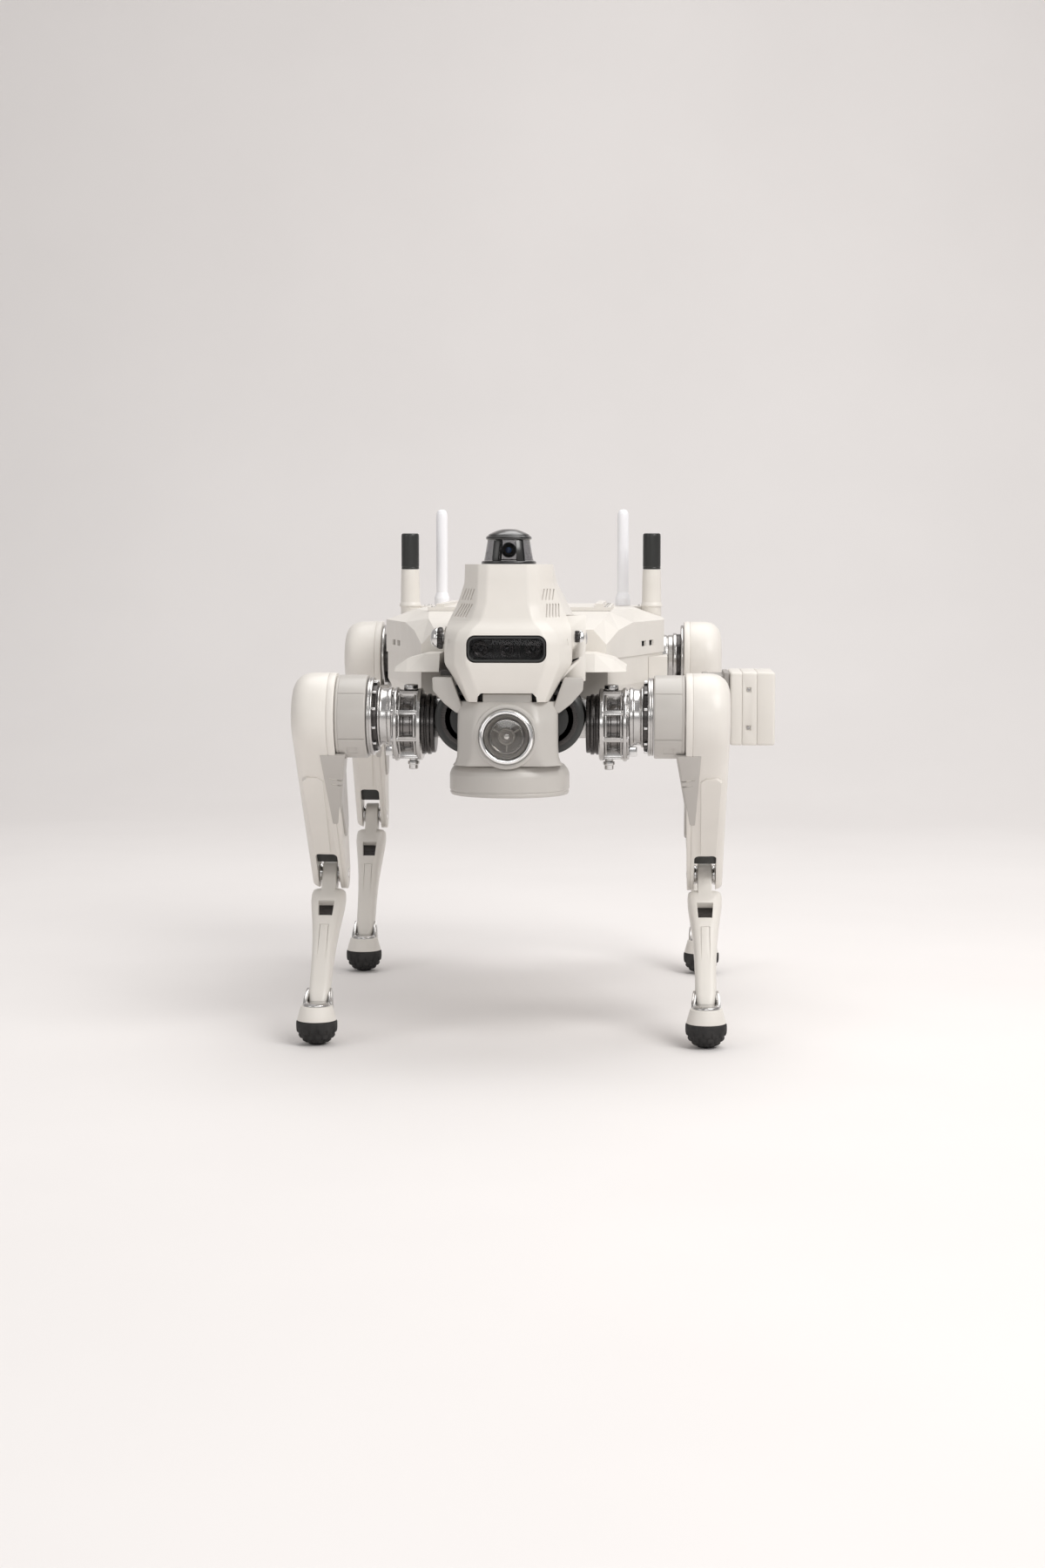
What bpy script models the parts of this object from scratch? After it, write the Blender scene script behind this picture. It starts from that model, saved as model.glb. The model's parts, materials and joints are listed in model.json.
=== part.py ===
"""Quadruped robot dog: a walking machine with four driven legs, a sensor head and a payload deck.

Frame: the robot faces -Y, its left side is +X, +Z is up, and Z = 0 is the ground under the feet.
All lengths are metres and all angles in the named values are degrees.
"""
import math

import bmesh
import bpy
from mathutils import Matrix, Vector

# ---------------------------------------------------------------- driving dimensions
GAP = 0.0003                 # clearance between neighbouring solids
FRAME_SHIFT = (-0.0300, 0.0015, 0.0)    # puts the bounding box's base centre on the origin

WHEELBASE = 0.590            # front hip to rear hip
ABDUCTION_X = 0.046          # abduction axes, either side of the middle plane
FRONT_LEG_X = 0.2335         # middle plane of a front leg
REAR_LEG_X = 0.2385
THIGH_LENGTH = 0.248         # hip axis to knee axis
SHANK_LENGTH = 0.224         # knee axis to the middle of the foot
FRONT_THIGH_LEAN = 34.3      # knee behind the hip
FRONT_SHANK_LEAN = -42.6     # foot ahead of the knee
REAR_THIGH_LEAN = 21.3
REAR_SHANK_LEAN = -33.9

ACTUATOR_R = 0.042           # abduction actuator
ACTUATOR_HALF = 0.045
CAGE_R = 0.044               # ribbed cage of the hip bracket
CAGE_DROP = 0.009            # cage centre below the hip axis
CAGE_INNER_X = 0.1045
CAGE_OUTER_X = 0.1400
NECK_R = 0.0335
HOUSING_R = 0.0495           # gray hip actuator housing
THIGH_TOP_R = 0.052
KNEE_R = 0.0195
THIGH_HALF = 0.0265          # half the thigh's width
SLOT_HALF = 0.0135           # knee clevis
TONGUE_HALF = 0.0086
PIN_R = 0.0060
FOOT_R = 0.0248
FOOT_MID_Z = 0.0245          # foot centre above the ground


def hip_height(thigh_lean, shank_lean):
    """Height of a hip axis whose foot stands on the ground."""
    drop = THIGH_LENGTH * math.cos(math.radians(thigh_lean))
    return FOOT_MID_Z + drop + SHANK_LENGTH * math.cos(math.radians(shank_lean))


FRONT_HIP_Z = hip_height(FRONT_THIGH_LEAN, FRONT_SHANK_LEAN)   # about 0.394
REAR_HIP_Z = hip_height(REAR_THIGH_LEAN, REAR_SHANK_LEAN)      # about 0.441

SPINE_Z = FRONT_HIP_Z + ACTUATOR_R + 0.009   # underside of the spine plate
TORSO_HALF = 0.183
TORSO_FRONT_Y = -0.236
NECK_HALF = 0.112              # half width of the torso's front end
SHOULDER_Y = 0.045             # the torso has its full width behind this
TORSO_REAR_Y = 0.236
TORSO_TAIL_Y = 0.362
TORSO_SEAM_Z = 0.460
DECK_Z = 0.516
BELLY_Z = 0.365
BELLY_FRONT_Y = -0.222
SHELL = 0.003                # wall thickness of the covers

POST_X = 0.1665              # stub antenna posts
POST_Y = 0.2140
POST_R = 0.0132

HEAD_FRONT_Y = -0.402
CHIN_Z = 0.3425
LAMP_Z = 0.377
CAMERA_Z = 0.478             # depth camera middle
DOME_Z = 0.5765              # top of the head column
DOME_Y = -0.345
BALL_R = 0.0088              # camera ball inside the dome

MATERIALS = {                # colour, metallic, roughness
    "cream_shell": ((0.80, 0.76, 0.70), 0.0, 0.42),
    "gray_shell": ((0.50, 0.48, 0.46), 0.0, 0.40),
    "silver_metal": ((0.66, 0.65, 0.64), 1.0, 0.28),
    "dark_metal": ((0.10, 0.10, 0.10), 0.8, 0.35),
    "black_plastic": ((0.02, 0.02, 0.02), 0.0, 0.30),
    "black_rubber": ((0.03, 0.03, 0.03), 0.0, 0.80),
    "white_plastic": ((0.90, 0.90, 0.92), 0.0, 0.35),
    "dark_window": ((0.01, 0.01, 0.01), 0.0, 0.06),
    "lens_glass": ((0.20, 0.19, 0.18), 0.0, 0.05),
    "green_board": ((0.05, 0.16, 0.08), 0.0, 0.50),
}


# ---------------------------------------------------------------- scene helpers
def clear_scene():
    for item in list(bpy.data.objects):
        bpy.data.objects.remove(item, do_unlink=True)


def collection(name):
    made = bpy.data.collections.new(name)
    bpy.context.scene.collection.children.link(made)
    return made


clear_scene()
ROBOT = collection("quadruped_robot_dog")
CUTTERS = collection("cutters")


def material(node_name, look):
    """Each piece has a material of its own, in one of the robot's finishes."""
    colour, metallic, roughness = MATERIALS[look]
    made = bpy.data.materials.new(node_name + "_" + look)
    made.use_nodes = True
    shader = made.node_tree.nodes["Principled BSDF"]
    shader.inputs["Base Color"].default_value = (*colour, 1.0)
    shader.inputs["Metallic"].default_value = metallic
    shader.inputs["Roughness"].default_value = roughness
    made.diffuse_color = (*colour, 1.0)
    return made


def new_object(name, mesh):
    made = bpy.data.objects.new(name, mesh)
    ROBOT.objects.link(made)
    return made


def finish(piece, look, parent=None):
    """Give a piece its material and smooth round faces, and hang it on its parent."""
    piece.data.materials.clear()
    piece.data.materials.append(material(piece.name, look))
    piece.data.shade_smooth()
    piece.data.set_sharp_from_angle(angle=math.radians(32))
    carry(piece, parent)
    return piece


def carry(piece, parent):
    """Parent a piece together with the tools of its Boolean modifiers."""
    piece.parent = parent
    for step in piece.modifiers:
        if step.type == "BOOLEAN":
            carry(step.object, parent)


def empty(name, location, parent=None, lean=0.0):
    made = bpy.data.objects.new(name, None)
    made.location = location
    made.rotation_euler = (math.radians(lean), 0.0, 0.0)
    made.parent = parent
    ROBOT.objects.link(made)
    return made


def bmesh_object(name, shape):
    mesh = bpy.data.meshes.new(name)
    bmesh.ops.recalc_face_normals(shape, faces=shape.faces[:])
    shape.to_mesh(mesh)
    shape.free()
    return new_object(name, mesh)


def freeze(piece):
    """Replace a piece's mesh with its modifiers' result, so that copies can share it."""
    bpy.context.view_layer.update()
    graph = bpy.context.evaluated_depsgraph_get()
    mesh = bpy.data.meshes.new_from_object(piece.evaluated_get(graph))
    piece.modifiers.clear()
    piece.data = mesh
    return piece


# ---------------------------------------------------------------- shape helpers
def box(name, low, high):
    shape = bmesh.new()
    bmesh.ops.create_cube(shape, size=1.0)
    size = Vector(high) - Vector(low)
    middle = (Vector(high) + Vector(low)) / 2
    bmesh.ops.transform(shape, matrix=Matrix.Translation(middle) @ Matrix.Diagonal((*size, 1.0)),
                        verts=shape.verts[:])
    return bmesh_object(name, shape)


AXIS_TURN = {
    "X": Matrix.Rotation(math.radians(90), 4, "Y"),
    "Y": Matrix.Rotation(math.radians(-90), 4, "X"),
    "Z": Matrix.Identity(4),
}


def cylinder(name, radius, start, end, axis="X", centre=(0, 0, 0), sides=16, end_radius=None):
    """A cylinder or cone from start to end along an axis through centre."""
    shape = bmesh.new()
    bmesh.ops.create_cone(shape, cap_ends=True, segments=sides, radius1=radius,
                          radius2=radius if end_radius is None else end_radius, depth=end - start)
    slide = Matrix.Translation((0, 0, (start + end) / 2))
    bmesh.ops.transform(shape, matrix=Matrix.Translation(centre) @ AXIS_TURN[axis] @ slide,
                        verts=shape.verts[:])
    return bmesh_object(name, shape)


def turned(name, profile, axis="Z", centre=(0, 0, 0), sides=32):
    """A turned piece: (radius, height) points from the top down, both ends on the axis."""
    shape = bmesh.new()
    points = [shape.verts.new((radius, 0, height)) for radius, height in profile]
    for first, second in zip(points, points[1:]):
        shape.edges.new((first, second))
    mesh = bpy.data.meshes.new(name)
    shape.to_mesh(mesh)
    shape.free()
    piece = new_object(name, mesh)
    screw = piece.modifiers.new("turn", "SCREW")
    screw.steps = sides
    screw.render_steps = sides
    screw.use_merge_vertices = True
    screw.merge_threshold = 0.00001
    freeze(piece)
    piece.data.transform(Matrix.Translation(centre) @ AXIS_TURN[axis])
    return piece


def loft(name, sections):
    """Skin a row of closed outlines that have equal point counts, and cap both ends."""
    shape = bmesh.new()
    rings = [[shape.verts.new(point) for point in section] for section in sections]
    count = len(rings[0])
    for lower, upper in zip(rings, rings[1:]):
        for index in range(count):
            after = (index + 1) % count
            shape.faces.new((lower[index], lower[after], upper[after], upper[index]))
    shape.faces.new(rings[0])
    shape.faces.new(rings[-1])
    bmesh.ops.connect_verts_nonplanar(shape, angle_limit=math.radians(0.2), faces=shape.faces[:])
    return bmesh_object(name, shape)


def combine(piece, tool, operation):
    """Boolean a tool into a piece; the tool stays in the cutters collection."""
    ROBOT.objects.unlink(tool)
    CUTTERS.objects.link(tool)
    tool.hide_render = True
    tool.display_type = "WIRE"
    step = piece.modifiers.new(tool.name, "BOOLEAN")
    step.operation = operation
    step.solver = "EXACT"
    step.object = tool
    return piece


def cut(piece, *tools):
    for tool in tools:
        combine(piece, tool, "DIFFERENCE")
    return piece


def join(piece, *tools):
    for tool in tools:
        combine(piece, tool, "UNION")
    return piece


def bevel(piece, width, segments=1, angle=35):
    step = piece.modifiers.new("bevel", "BEVEL")
    step.width = width
    step.segments = segments
    step.limit_method = "ANGLE"
    step.angle_limit = math.radians(angle)
    step.harden_normals = False
    return piece


def arc(centre, radius, start, stop, count):
    """Points on an arc in a plane, angles in degrees."""
    points = []
    for index in range(count):
        turn = math.radians(start + (stop - start) * index / (count - 1))
        points.append((centre[0] + radius * math.cos(turn), centre[1] + radius * math.sin(turn)))
    return points


def link_outline(top_radius, end_radius, top_z, end_z, count=9):
    """Side outline (y, z) of a link: a big round end, a small round end and straight flanks."""
    spread = math.degrees(math.asin((top_radius - end_radius) / (top_z - end_z)))
    upper = arc((0, top_z), top_radius, -spread, 180 + spread, count)
    lower = arc((0, end_z), end_radius, 180 + spread, 360 - spread, max(5, count - 4))
    return upper + lower


def mirrored_copy(mesh):
    """The same mesh for the robot's other side."""
    other = mesh.copy()
    other.transform(Matrix.Diagonal((-1, 1, 1, 1)))
    other.flip_normals()
    return other


# ---------------------------------------------------------------- leg pieces, left side
# Hip pieces are drawn from the hip axis with X measured from the middle plane. The thigh, the
# shank and the foot are drawn hanging straight down from their own joint, in the leg's plane.
def abduction_actuator():
    edge = ACTUATOR_HALF
    profile = [(0, edge), (0.028, edge), (0.028, edge - 0.004), (ACTUATOR_R, edge - 0.004),
               (ACTUATOR_R, 0.022), (0.039, 0.019), (0.039, -0.016), (ACTUATOR_R, -0.019),
               (ACTUATOR_R, -edge), (0, -edge)]
    return turned("abduction_actuator", profile, "Y", (ABDUCTION_X, 0, 0), 20)


def hip_bracket():
    """Ribbed cage round the hip motor, on an arm that the abduction actuator turns."""
    middle = (0, 0, -CAGE_DROP)
    arm_y = ACTUATOR_HALF + GAP
    arm_back = arm_y + 0.0075
    bracket = cylinder("hip_bracket", 0.031, CAGE_INNER_X, CAGE_OUTER_X, centre=middle)
    flange = cylinder("dark_flange", 0.036, 0.0895, CAGE_INNER_X + 0.001, centre=middle)
    inner = cylinder("inner_ring", CAGE_R - 0.001, CAGE_INNER_X, 0.1115, centre=middle)
    outer = cylinder("outer_ring", CAGE_R, 0.1325, CAGE_OUTER_X, centre=middle)
    join(bracket, flange, inner, outer)
    for index in range(8):
        rib = box("rib", (0.108, -0.0025, 0.028), (0.136, 0.0025, CAGE_R - 0.0015))
        turn = Matrix.Rotation(math.radians(22.5 + 45 * index), 4, "X")
        rib.data.transform(Matrix.Translation(middle) @ turn)
        join(bracket, rib)
    pad = cylinder("arm_pad", 0.034, arm_y, arm_back, "Y", (ABDUCTION_X, 0, 0))
    arm = box("arm", (ABDUCTION_X, arm_y + 0.0005, -0.029), (0.126, arm_back - 0.0005, 0.021))
    foot_block = box("arm_block", (0.107, 0.020, -0.032), (0.129, arm_back, 0.019))
    join(bracket, pad, arm, foot_block)
    top_clamp = cylinder("top_clamp", 0.0085, 0.020, 0.0385, "Z", (0.1193, 0, 0), 12)
    low_clamp = cylinder("low_clamp", 0.0070, -0.063, -0.032, "Z", (0.1165, 0, 0), 12)
    gusset = box("gusset", (0.136, -0.004, -0.047), (0.150, 0.004, -0.035))
    return freeze(join(bracket, top_clamp, low_clamp, gusset))


def hip_actuator(front):
    start = CAGE_OUTER_X + GAP
    if front:
        end = FRONT_LEG_X - THIGH_HALF - 2 * GAP
        profile = [(0, end), (HOUSING_R - 0.001, end), (HOUSING_R, end - 0.001),
                   (HOUSING_R, end - 0.0365), (0.0465, end - 0.0372), (0.0465, end - 0.0435),
                   (0.041, end - 0.0440), (0.041, end - 0.0475), (NECK_R, end - 0.0480),
                   (NECK_R, start), (0, start)]
    else:
        end = REAR_LEG_X - THIGH_HALF - 2 * GAP
        profile = [(0, end), (0.047, end), (0.047, end - 0.0035), (0.036, end - 0.0040),
                   (0.036, end - 0.0110), (NECK_R, end - 0.0120), (NECK_R, start), (0, start)]
    return turned("hip_actuator", profile, "X", (0, 0, 0), 20)


def thigh_sections(stations):
    """Outlines of the thigh at each (distance across, inset), narrowing towards the knee."""
    sections = []
    for across, inset in stations:
        outline = link_outline(THIGH_TOP_R - inset, KNEE_R - 0.3 * inset, 0, -THIGH_LENGTH, 9)
        section = []
        for y, z in outline:
            narrow = 1 - 0.17 * max(0.0, -z) / THIGH_LENGTH
            section.append((across * narrow, y, z))
        sections.append(section)
    return sections


def cover_outline(grow):
    return link_outline(0.034 + grow, 0.0165 + grow, -0.084, -0.166, 7)


def thigh_shell():
    stations = [(-THIGH_HALF, 0.0015), (-0.0250, 0), (0.004, 0), (0.0145, 0.0035),
                (0.0220, 0.0105), (THIGH_HALF, 0.0220)]
    thigh = loft("thigh_shell", thigh_sections(stations))
    knee = -THIGH_LENGTH
    slot = box("knee_slot", (-SLOT_HALF, -0.07, knee - 0.03), (SLOT_HALF, 0.07, knee + 0.036))
    bevel(slot, 0.005, 1)
    bore = cylinder("knee_bore", PIN_R + GAP, -0.04, 0.04, centre=(0, 0, knee), sides=16)
    recess = loft("cover_recess", [[(x, y, z) for y, z in cover_outline(GAP)] for x in (-0.04, -0.0207)])
    pocket = loft("belt_space", [[(x, y, z) for y, z in cover_outline(-0.004)] for x in (-0.04, 0.008)])
    return freeze(cut(thigh, slot, bore, recess, pocket))


def thigh_cover():
    cover = loft("thigh_cover", [[(x, y, z) for y, z in cover_outline(0)] for x in (-0.0262, -0.0210)])
    return freeze(bevel(cover, 0.0012, 1, 60))


def knee_axle():
    """Knee pin with the two bearing discs that stand between the tongue and the clevis."""
    half = THIGH_HALF * 0.83
    disc_in = TONGUE_HALF + GAP
    disc_out = SLOT_HALF - GAP
    profile = [(0, half), (PIN_R, half), (PIN_R, disc_out), (0.0125, disc_out), (0.0125, disc_in),
               (PIN_R, disc_in), (PIN_R, -disc_in), (0.0125, -disc_in), (0.0125, -disc_out),
               (PIN_R, -disc_out), (PIN_R, -half), (0, -half)]
    return turned("knee_axle", profile, "X", (0, 0, -THIGH_LENGTH), 14)


def shank(lean):
    """Tongue, tapered limb and ankle collar; the collar stands upright at rest."""
    def section(z, half, front, back, corner):
        return [(half, front + corner, z), (half, back - corner, z), (half - corner, back, z),
                (corner - half, back, z), (-half, back - corner, z), (-half, front + corner, z),
                (corner - half, front, z), (half - corner, front, z)]

    limb = loft("shank", [section(-0.0270, 0.0195, -0.004, 0.014, 0.0035),
                          section(-0.0350, 0.0210, -0.011, 0.017, 0.0040),
                          section(-0.0500, 0.0205, -0.017, 0.018, 0.0050),
                          section(-0.0800, 0.0170, -0.017, 0.018, 0.0050),
                          section(-0.1100, 0.0142, -0.016, 0.016, 0.0050),
                          section(-0.1500, 0.0130, -0.014, 0.014, 0.0050),
                          section(-0.1850, 0.0130, -0.012, 0.013, 0.0050),
                          section(-0.2060, 0.0100, -0.007, 0.010, 0.0040)])
    tongue_side = link_outline(0.0165, 0.0130, 0, -0.052, 9)
    tongue = loft("tongue", [[(x, y, z) for y, z in tongue_side] for x in (-TONGUE_HALF, TONGUE_HALF)])
    upright = Matrix.Translation((0, 0, -SHANK_LENGTH)) @ Matrix.Rotation(math.radians(-lean), 4, "X")
    collar = cylinder("ankle_collar", 0.0236, 0.0050, 0.0225, "Z", sides=20, end_radius=0.0190)
    collar.data.transform(upright)
    join(limb, tongue, collar)
    bore = cylinder("tongue_bore", PIN_R + GAP, -0.02, 0.02, sides=16)
    window = box("limb_window", (-0.0095, -0.03, -0.078), (0.0095, 0.008, -0.057))
    return freeze(cut(limb, bore, window))


def foot(lean):
    """Rubber foot: a squashed ball with a flat sole, upright at rest."""
    profile = [(0, 0.0047), (0.0238, 0.0047), (FOOT_R, 0.0010), (FOOT_R, -0.0040),
               (0.0232, -0.0110), (0.0195, -0.0175), (0.0140, -0.0222), (0.0080, -FOOT_MID_Z),
               (0, -FOOT_MID_Z)]
    piece = turned("foot", profile, "Z", (0, 0, 0), 20)
    upright = Matrix.Translation((0, 0, -SHANK_LENGTH)) @ Matrix.Rotation(math.radians(-lean), 4, "X")
    piece.data.transform(upright)
    return piece


def build_legs(robot):
    """Make each leg piece once for the left side, then place it on all four legs."""
    shared = {"abduction_actuator": abduction_actuator(), "hip_bracket": hip_bracket(),
              "thigh_shell": thigh_shell(), "thigh_cover": thigh_cover(), "knee_axle": knee_axle()}
    looks = {"abduction_actuator": "dark_metal", "hip_bracket": "silver_metal",
             "hip_actuator": "gray_shell", "thigh_shell": "cream_shell", "thigh_cover": "gray_shell",
             "knee_axle": "silver_metal", "shank": "cream_shell", "foot": "black_rubber"}
    ends = {"front": (-WHEELBASE / 2, FRONT_HIP_Z, FRONT_LEG_X, FRONT_THIGH_LEAN, FRONT_SHANK_LEAN),
            "rear": (WHEELBASE / 2, REAR_HIP_Z, REAR_LEG_X, REAR_THIGH_LEAN, REAR_SHANK_LEAN)}
    for end, (hip_y, hip_z, leg_x, thigh_lean, shank_lean) in ends.items():
        pieces = dict(shared)
        pieces["hip_actuator"] = hip_actuator(end == "front")
        pieces["shank"] = shank(shank_lean)
        pieces["foot"] = foot(shank_lean)
        for side, sign in (("left", 1), ("right", -1)):
            leg = f"{end}_{side}"
            hip = empty(f"{leg}_hip_axis", (0, hip_y, hip_z), robot)
            swing = empty(f"{leg}_abduction_axis", (sign * ABDUCTION_X, 0, 0), hip)
            pitch = empty(f"{leg}_pitch_axis", (sign * (leg_x - ABDUCTION_X), 0, 0), swing, thigh_lean)
            knee = empty(f"{leg}_knee_axis", (0, 0, -THIGH_LENGTH), pitch, shank_lean - thigh_lean)
            parents = {"abduction_actuator": hip, "hip_bracket": swing, "hip_actuator": swing,
                       "thigh_shell": pitch, "thigh_cover": pitch, "knee_axle": pitch,
                       "shank": knee, "foot": knee}
            for kind, piece in pieces.items():
                mesh = piece.data.copy() if sign > 0 else mirrored_copy(piece.data)
                if parents[kind] is swing:
                    mesh.transform(Matrix.Translation((-sign * ABDUCTION_X, 0, 0)))
                finish(new_object(f"{leg}_{kind}", mesh), looks[kind], parents[kind])
        for kind in ("hip_actuator", "shank", "foot"):
            bpy.data.objects.remove(pieces[kind])
    for piece in shared.values():
        bpy.data.objects.remove(piece)


# ---------------------------------------------------------------- torso
def cross_section(y, half, low, high, chamfer_x, chamfer_z):
    """Hexagonal body outline in the XZ plane: flat top, slanting shoulders, upright sides."""
    return [(half, y, low), (half, y, high - chamfer_z), (half - chamfer_x, y, high),
            (chamfer_x - half, y, high), (-half, y, high - chamfer_z), (-half, y, low)]


def chassis_frame(robot):
    """Spine plate with a bulkhead at each end; the abduction actuators bolt to the bulkheads."""
    front_y = -WHEELBASE / 2 - ACTUATOR_HALF - GAP
    rear_y = WHEELBASE / 2 - ACTUATOR_HALF - GAP
    frame = box("chassis_frame", (-0.080, front_y - 0.006, SPINE_Z), (0.080, rear_y, SPINE_Z + 0.006))
    front = box("front_bulkhead", (-0.052, front_y - 0.0065, 0.356), (0.052, front_y, SPINE_Z + 0.006))
    rear = box("rear_bulkhead", (-0.086, rear_y - 0.0065, 0.402), (0.086, rear_y, 0.484))
    keel = box("battery_hanger", (-0.012, -0.200, 0.385), (0.012, -0.186, SPINE_Z + 0.001))
    join(frame, front, rear, keel)
    for x in (-0.055, 0.055):
        cut(frame, cylinder("weight_hole", 0.013, SPINE_Z - 0.02, SPINE_Z + 0.02, "Z", (x, -0.215, 0), 12))
    return finish(frame, "silver_metal", robot)


def battery_pack(robot):
    pack = box("battery_pack", (-0.082, -0.140, 0.374), (0.082, 0.130, 0.4450))
    return finish(bevel(pack, 0.006, 2), "black_plastic", robot)


def control_computer(robot):
    """Computer case with cooling fins along its top."""
    case = box("control_computer", (-0.075, -0.140, 0.4525), (0.075, 0.130, 0.4800))
    for index in range(9):
        x = -0.060 + 0.015 * index
        join(case, box("fin", (x - 0.0015, -0.120, 0.479), (x + 0.0015, 0.110, 0.4890)))
    return finish(case, "dark_metal", robot)


def torso_half(y):
    """Half width of the torso, which narrows from SHOULDER_Y towards the neck."""
    forward = min(1.0, max(0.0, (SHOULDER_Y - y) / (SHOULDER_Y - TORSO_FRONT_Y)))
    return TORSO_HALF + (NECK_HALF - TORSO_HALF) * forward


def torso_outline(inset, low):
    """Sections of the upper torso from the neck to the tail, shrunk by inset."""
    rows = [(TORSO_FRONT_Y + inset, torso_half(TORSO_FRONT_Y), 0.496, 0.016, 0.018),
            (-0.180, torso_half(-0.180), 0.508, 0.018, 0.014),
            (-0.112, torso_half(-0.112), DECK_Z, 0.030, 0.014),
            (SHOULDER_Y, TORSO_HALF, DECK_Z, 0.040, 0.014),
            (0.150, TORSO_HALF, DECK_Z, 0.040, 0.014),
            (TORSO_REAR_Y - inset, TORSO_HALF - 0.003, DECK_Z, 0.040, 0.014)]
    return [cross_section(y, half - inset, low, high - inset, cx, cz) for y, half, high, cx, cz in rows]


def wing_section(x, front, back, low, high):
    return [(x, front, low), (x, back, low), (x, back, high), (x, front + 0.014, high)]


def shoulder_wing(sign):
    """Cover plate that reaches forward over a front hip, sloping down towards its tip."""
    wing = loft("shoulder_wing", [wing_section(0.0830, -0.335, -0.228, 0.4490, 0.4700),
                                  wing_section(0.1000, -0.335, -0.228, 0.4490, 0.4700),
                                  wing_section(0.1220, -0.330, -0.228, 0.4490, 0.4640),
                                  wing_section(0.1370, -0.318, -0.228, 0.4490, 0.4540)])
    if sign < 0:
        wing.data.transform(Matrix.Diagonal((-1, 1, 1, 1)))
        wing.data.flip_normals()
    return wing


def torso_top_shell(robot):
    """Upper cover, open below, with a roof over the rear hips and a wing over each front hip."""
    shell = loft("torso_top_shell", torso_outline(0.0, TORSO_SEAM_Z))
    hollow = loft("top_hollow", torso_outline(SHELL, TORSO_SEAM_Z - 0.02))
    roof = loft("rear_roof", [cross_section(TORSO_REAR_Y - 0.012, 0.180, 0.5050, DECK_Z, 0.012, 0.004),
                              cross_section(0.330, 0.178, 0.5050, DECK_Z, 0.012, 0.004),
                              cross_section(TORSO_TAIL_Y, 0.150, 0.5050, DECK_Z - 0.002, 0.012, 0.004)])
    neck_gap = box("neck_gap", (-0.0836, -0.27, 0.40), (0.0836, -0.2205, 0.54))
    cut(shell, hollow)
    join(shell, roof, shoulder_wing(1), shoulder_wing(-1))
    cut(shell, neck_gap)
    for sign in (1, -1):
        cut(shell, cylinder("post_hole", POST_R + GAP, 0.48, 0.54, "Z", (sign * POST_X, POST_Y, 0)))
        for y in (-0.058, -0.020):
            side = sign * torso_half(y)
            cut(shell, box("side_vent", (side - 0.0060, y - 0.0110, 0.4705), (side + 0.0120, y + 0.0110, 0.4775)))
    return finish(shell, "cream_shell", robot)


def torso_belly_shell(robot):
    """Lower cover, a tray with sloping flanks that hangs under the seam."""
    def section(y, half, low, inset):
        return [(half - inset, y, TORSO_SEAM_Z - GAP + 10 * inset), (half - inset, y, 0.425),
                (half - 0.030 - inset, y, low + inset), (0.030 + inset - half, y, low + inset),
                (inset - half, y, 0.425), (inset - half, y, TORSO_SEAM_Z - GAP + 10 * inset)]

    front_half = torso_half(BELLY_FRONT_Y) - 0.002
    outer = [(BELLY_FRONT_Y, front_half, 0.385), (-0.150, torso_half(-0.150) - 0.002, BELLY_Z),
             (SHOULDER_Y, TORSO_HALF - 0.002, BELLY_Z), (0.160, TORSO_HALF - 0.002, BELLY_Z),
             (TORSO_REAR_Y, TORSO_HALF - 0.004, 0.378)]
    tray = loft("torso_belly_shell", [section(y, half, low, 0.0) for y, half, low in outer])
    inner = [(BELLY_FRONT_Y + SHELL, front_half, 0.385), *outer[1:4],
             (TORSO_REAR_Y - SHELL, TORSO_HALF - 0.004, 0.378)]
    hollow = loft("belly_hollow", [section(y, half, low, SHELL) for y, half, low in inner])
    spine_gap = box("spine_gap", (-0.0806, -0.23, SPINE_Z - 0.0006), (0.0806, -0.21, 0.48))
    tail_gap = box("tail_gap", (-0.0866, 0.22, 0.4014), (0.0866, 0.25, 0.48))
    return finish(cut(tray, hollow, spine_gap, tail_gap), "cream_shell", robot)


def payload_deck(robot):
    """Flat mounting plate on the torso's back."""
    deck = box("payload_deck", (-0.115, -0.110, DECK_Z + GAP), (0.115, 0.180, DECK_Z + 0.0050))
    for sign in (1, -1):
        join(deck, box("rail", (sign * 0.100 - 0.005, -0.100, DECK_Z + 0.004),
                       (sign * 0.100 + 0.005, 0.170, DECK_Z + 0.0090)))
    return finish(deck, "cream_shell", robot)


def antennas(robot):
    """Two stub antennas on posts at the deck's rear corners and two white whips inboard."""
    floor_z = DECK_Z + GAP
    for side, sign in (("left", 1), ("right", -1)):
        place = (sign * POST_X, POST_Y, 0)
        post = cylinder(f"antenna_post_{side}", POST_R, 0.4960, 0.5670, "Z", place)
        boss = cylinder("post_boss", 0.0062, 0.5660, 0.5720, "Z", place, 16)
        finish(join(post, boss), "cream_shell", robot)
        cap = cylinder(f"antenna_cap_{side}", 0.0122, 0.5673, 0.6165, "Z", place, 16)
        socket = cylinder("cap_socket", 0.0065, 0.5600, 0.5723, "Z", place, 16)
        finish(cut(bevel(cap, 0.0018, 1, 60), socket), "black_plastic", robot)
        whip_profile = [(0, 0.6500), (0.0050, 0.6490), (0.0078, 0.6450), (0.0080, 0.6400),
                        (0.0080, floor_z + 0.012), (0.0105, floor_z + 0.011), (0.0105, floor_z), (0, floor_z)]
        whip = turned(f"whip_antenna_{side}", whip_profile, "Z", (sign * 0.1265, 0.262, 0), 14)
        finish(whip, "white_plastic", robot)


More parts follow.
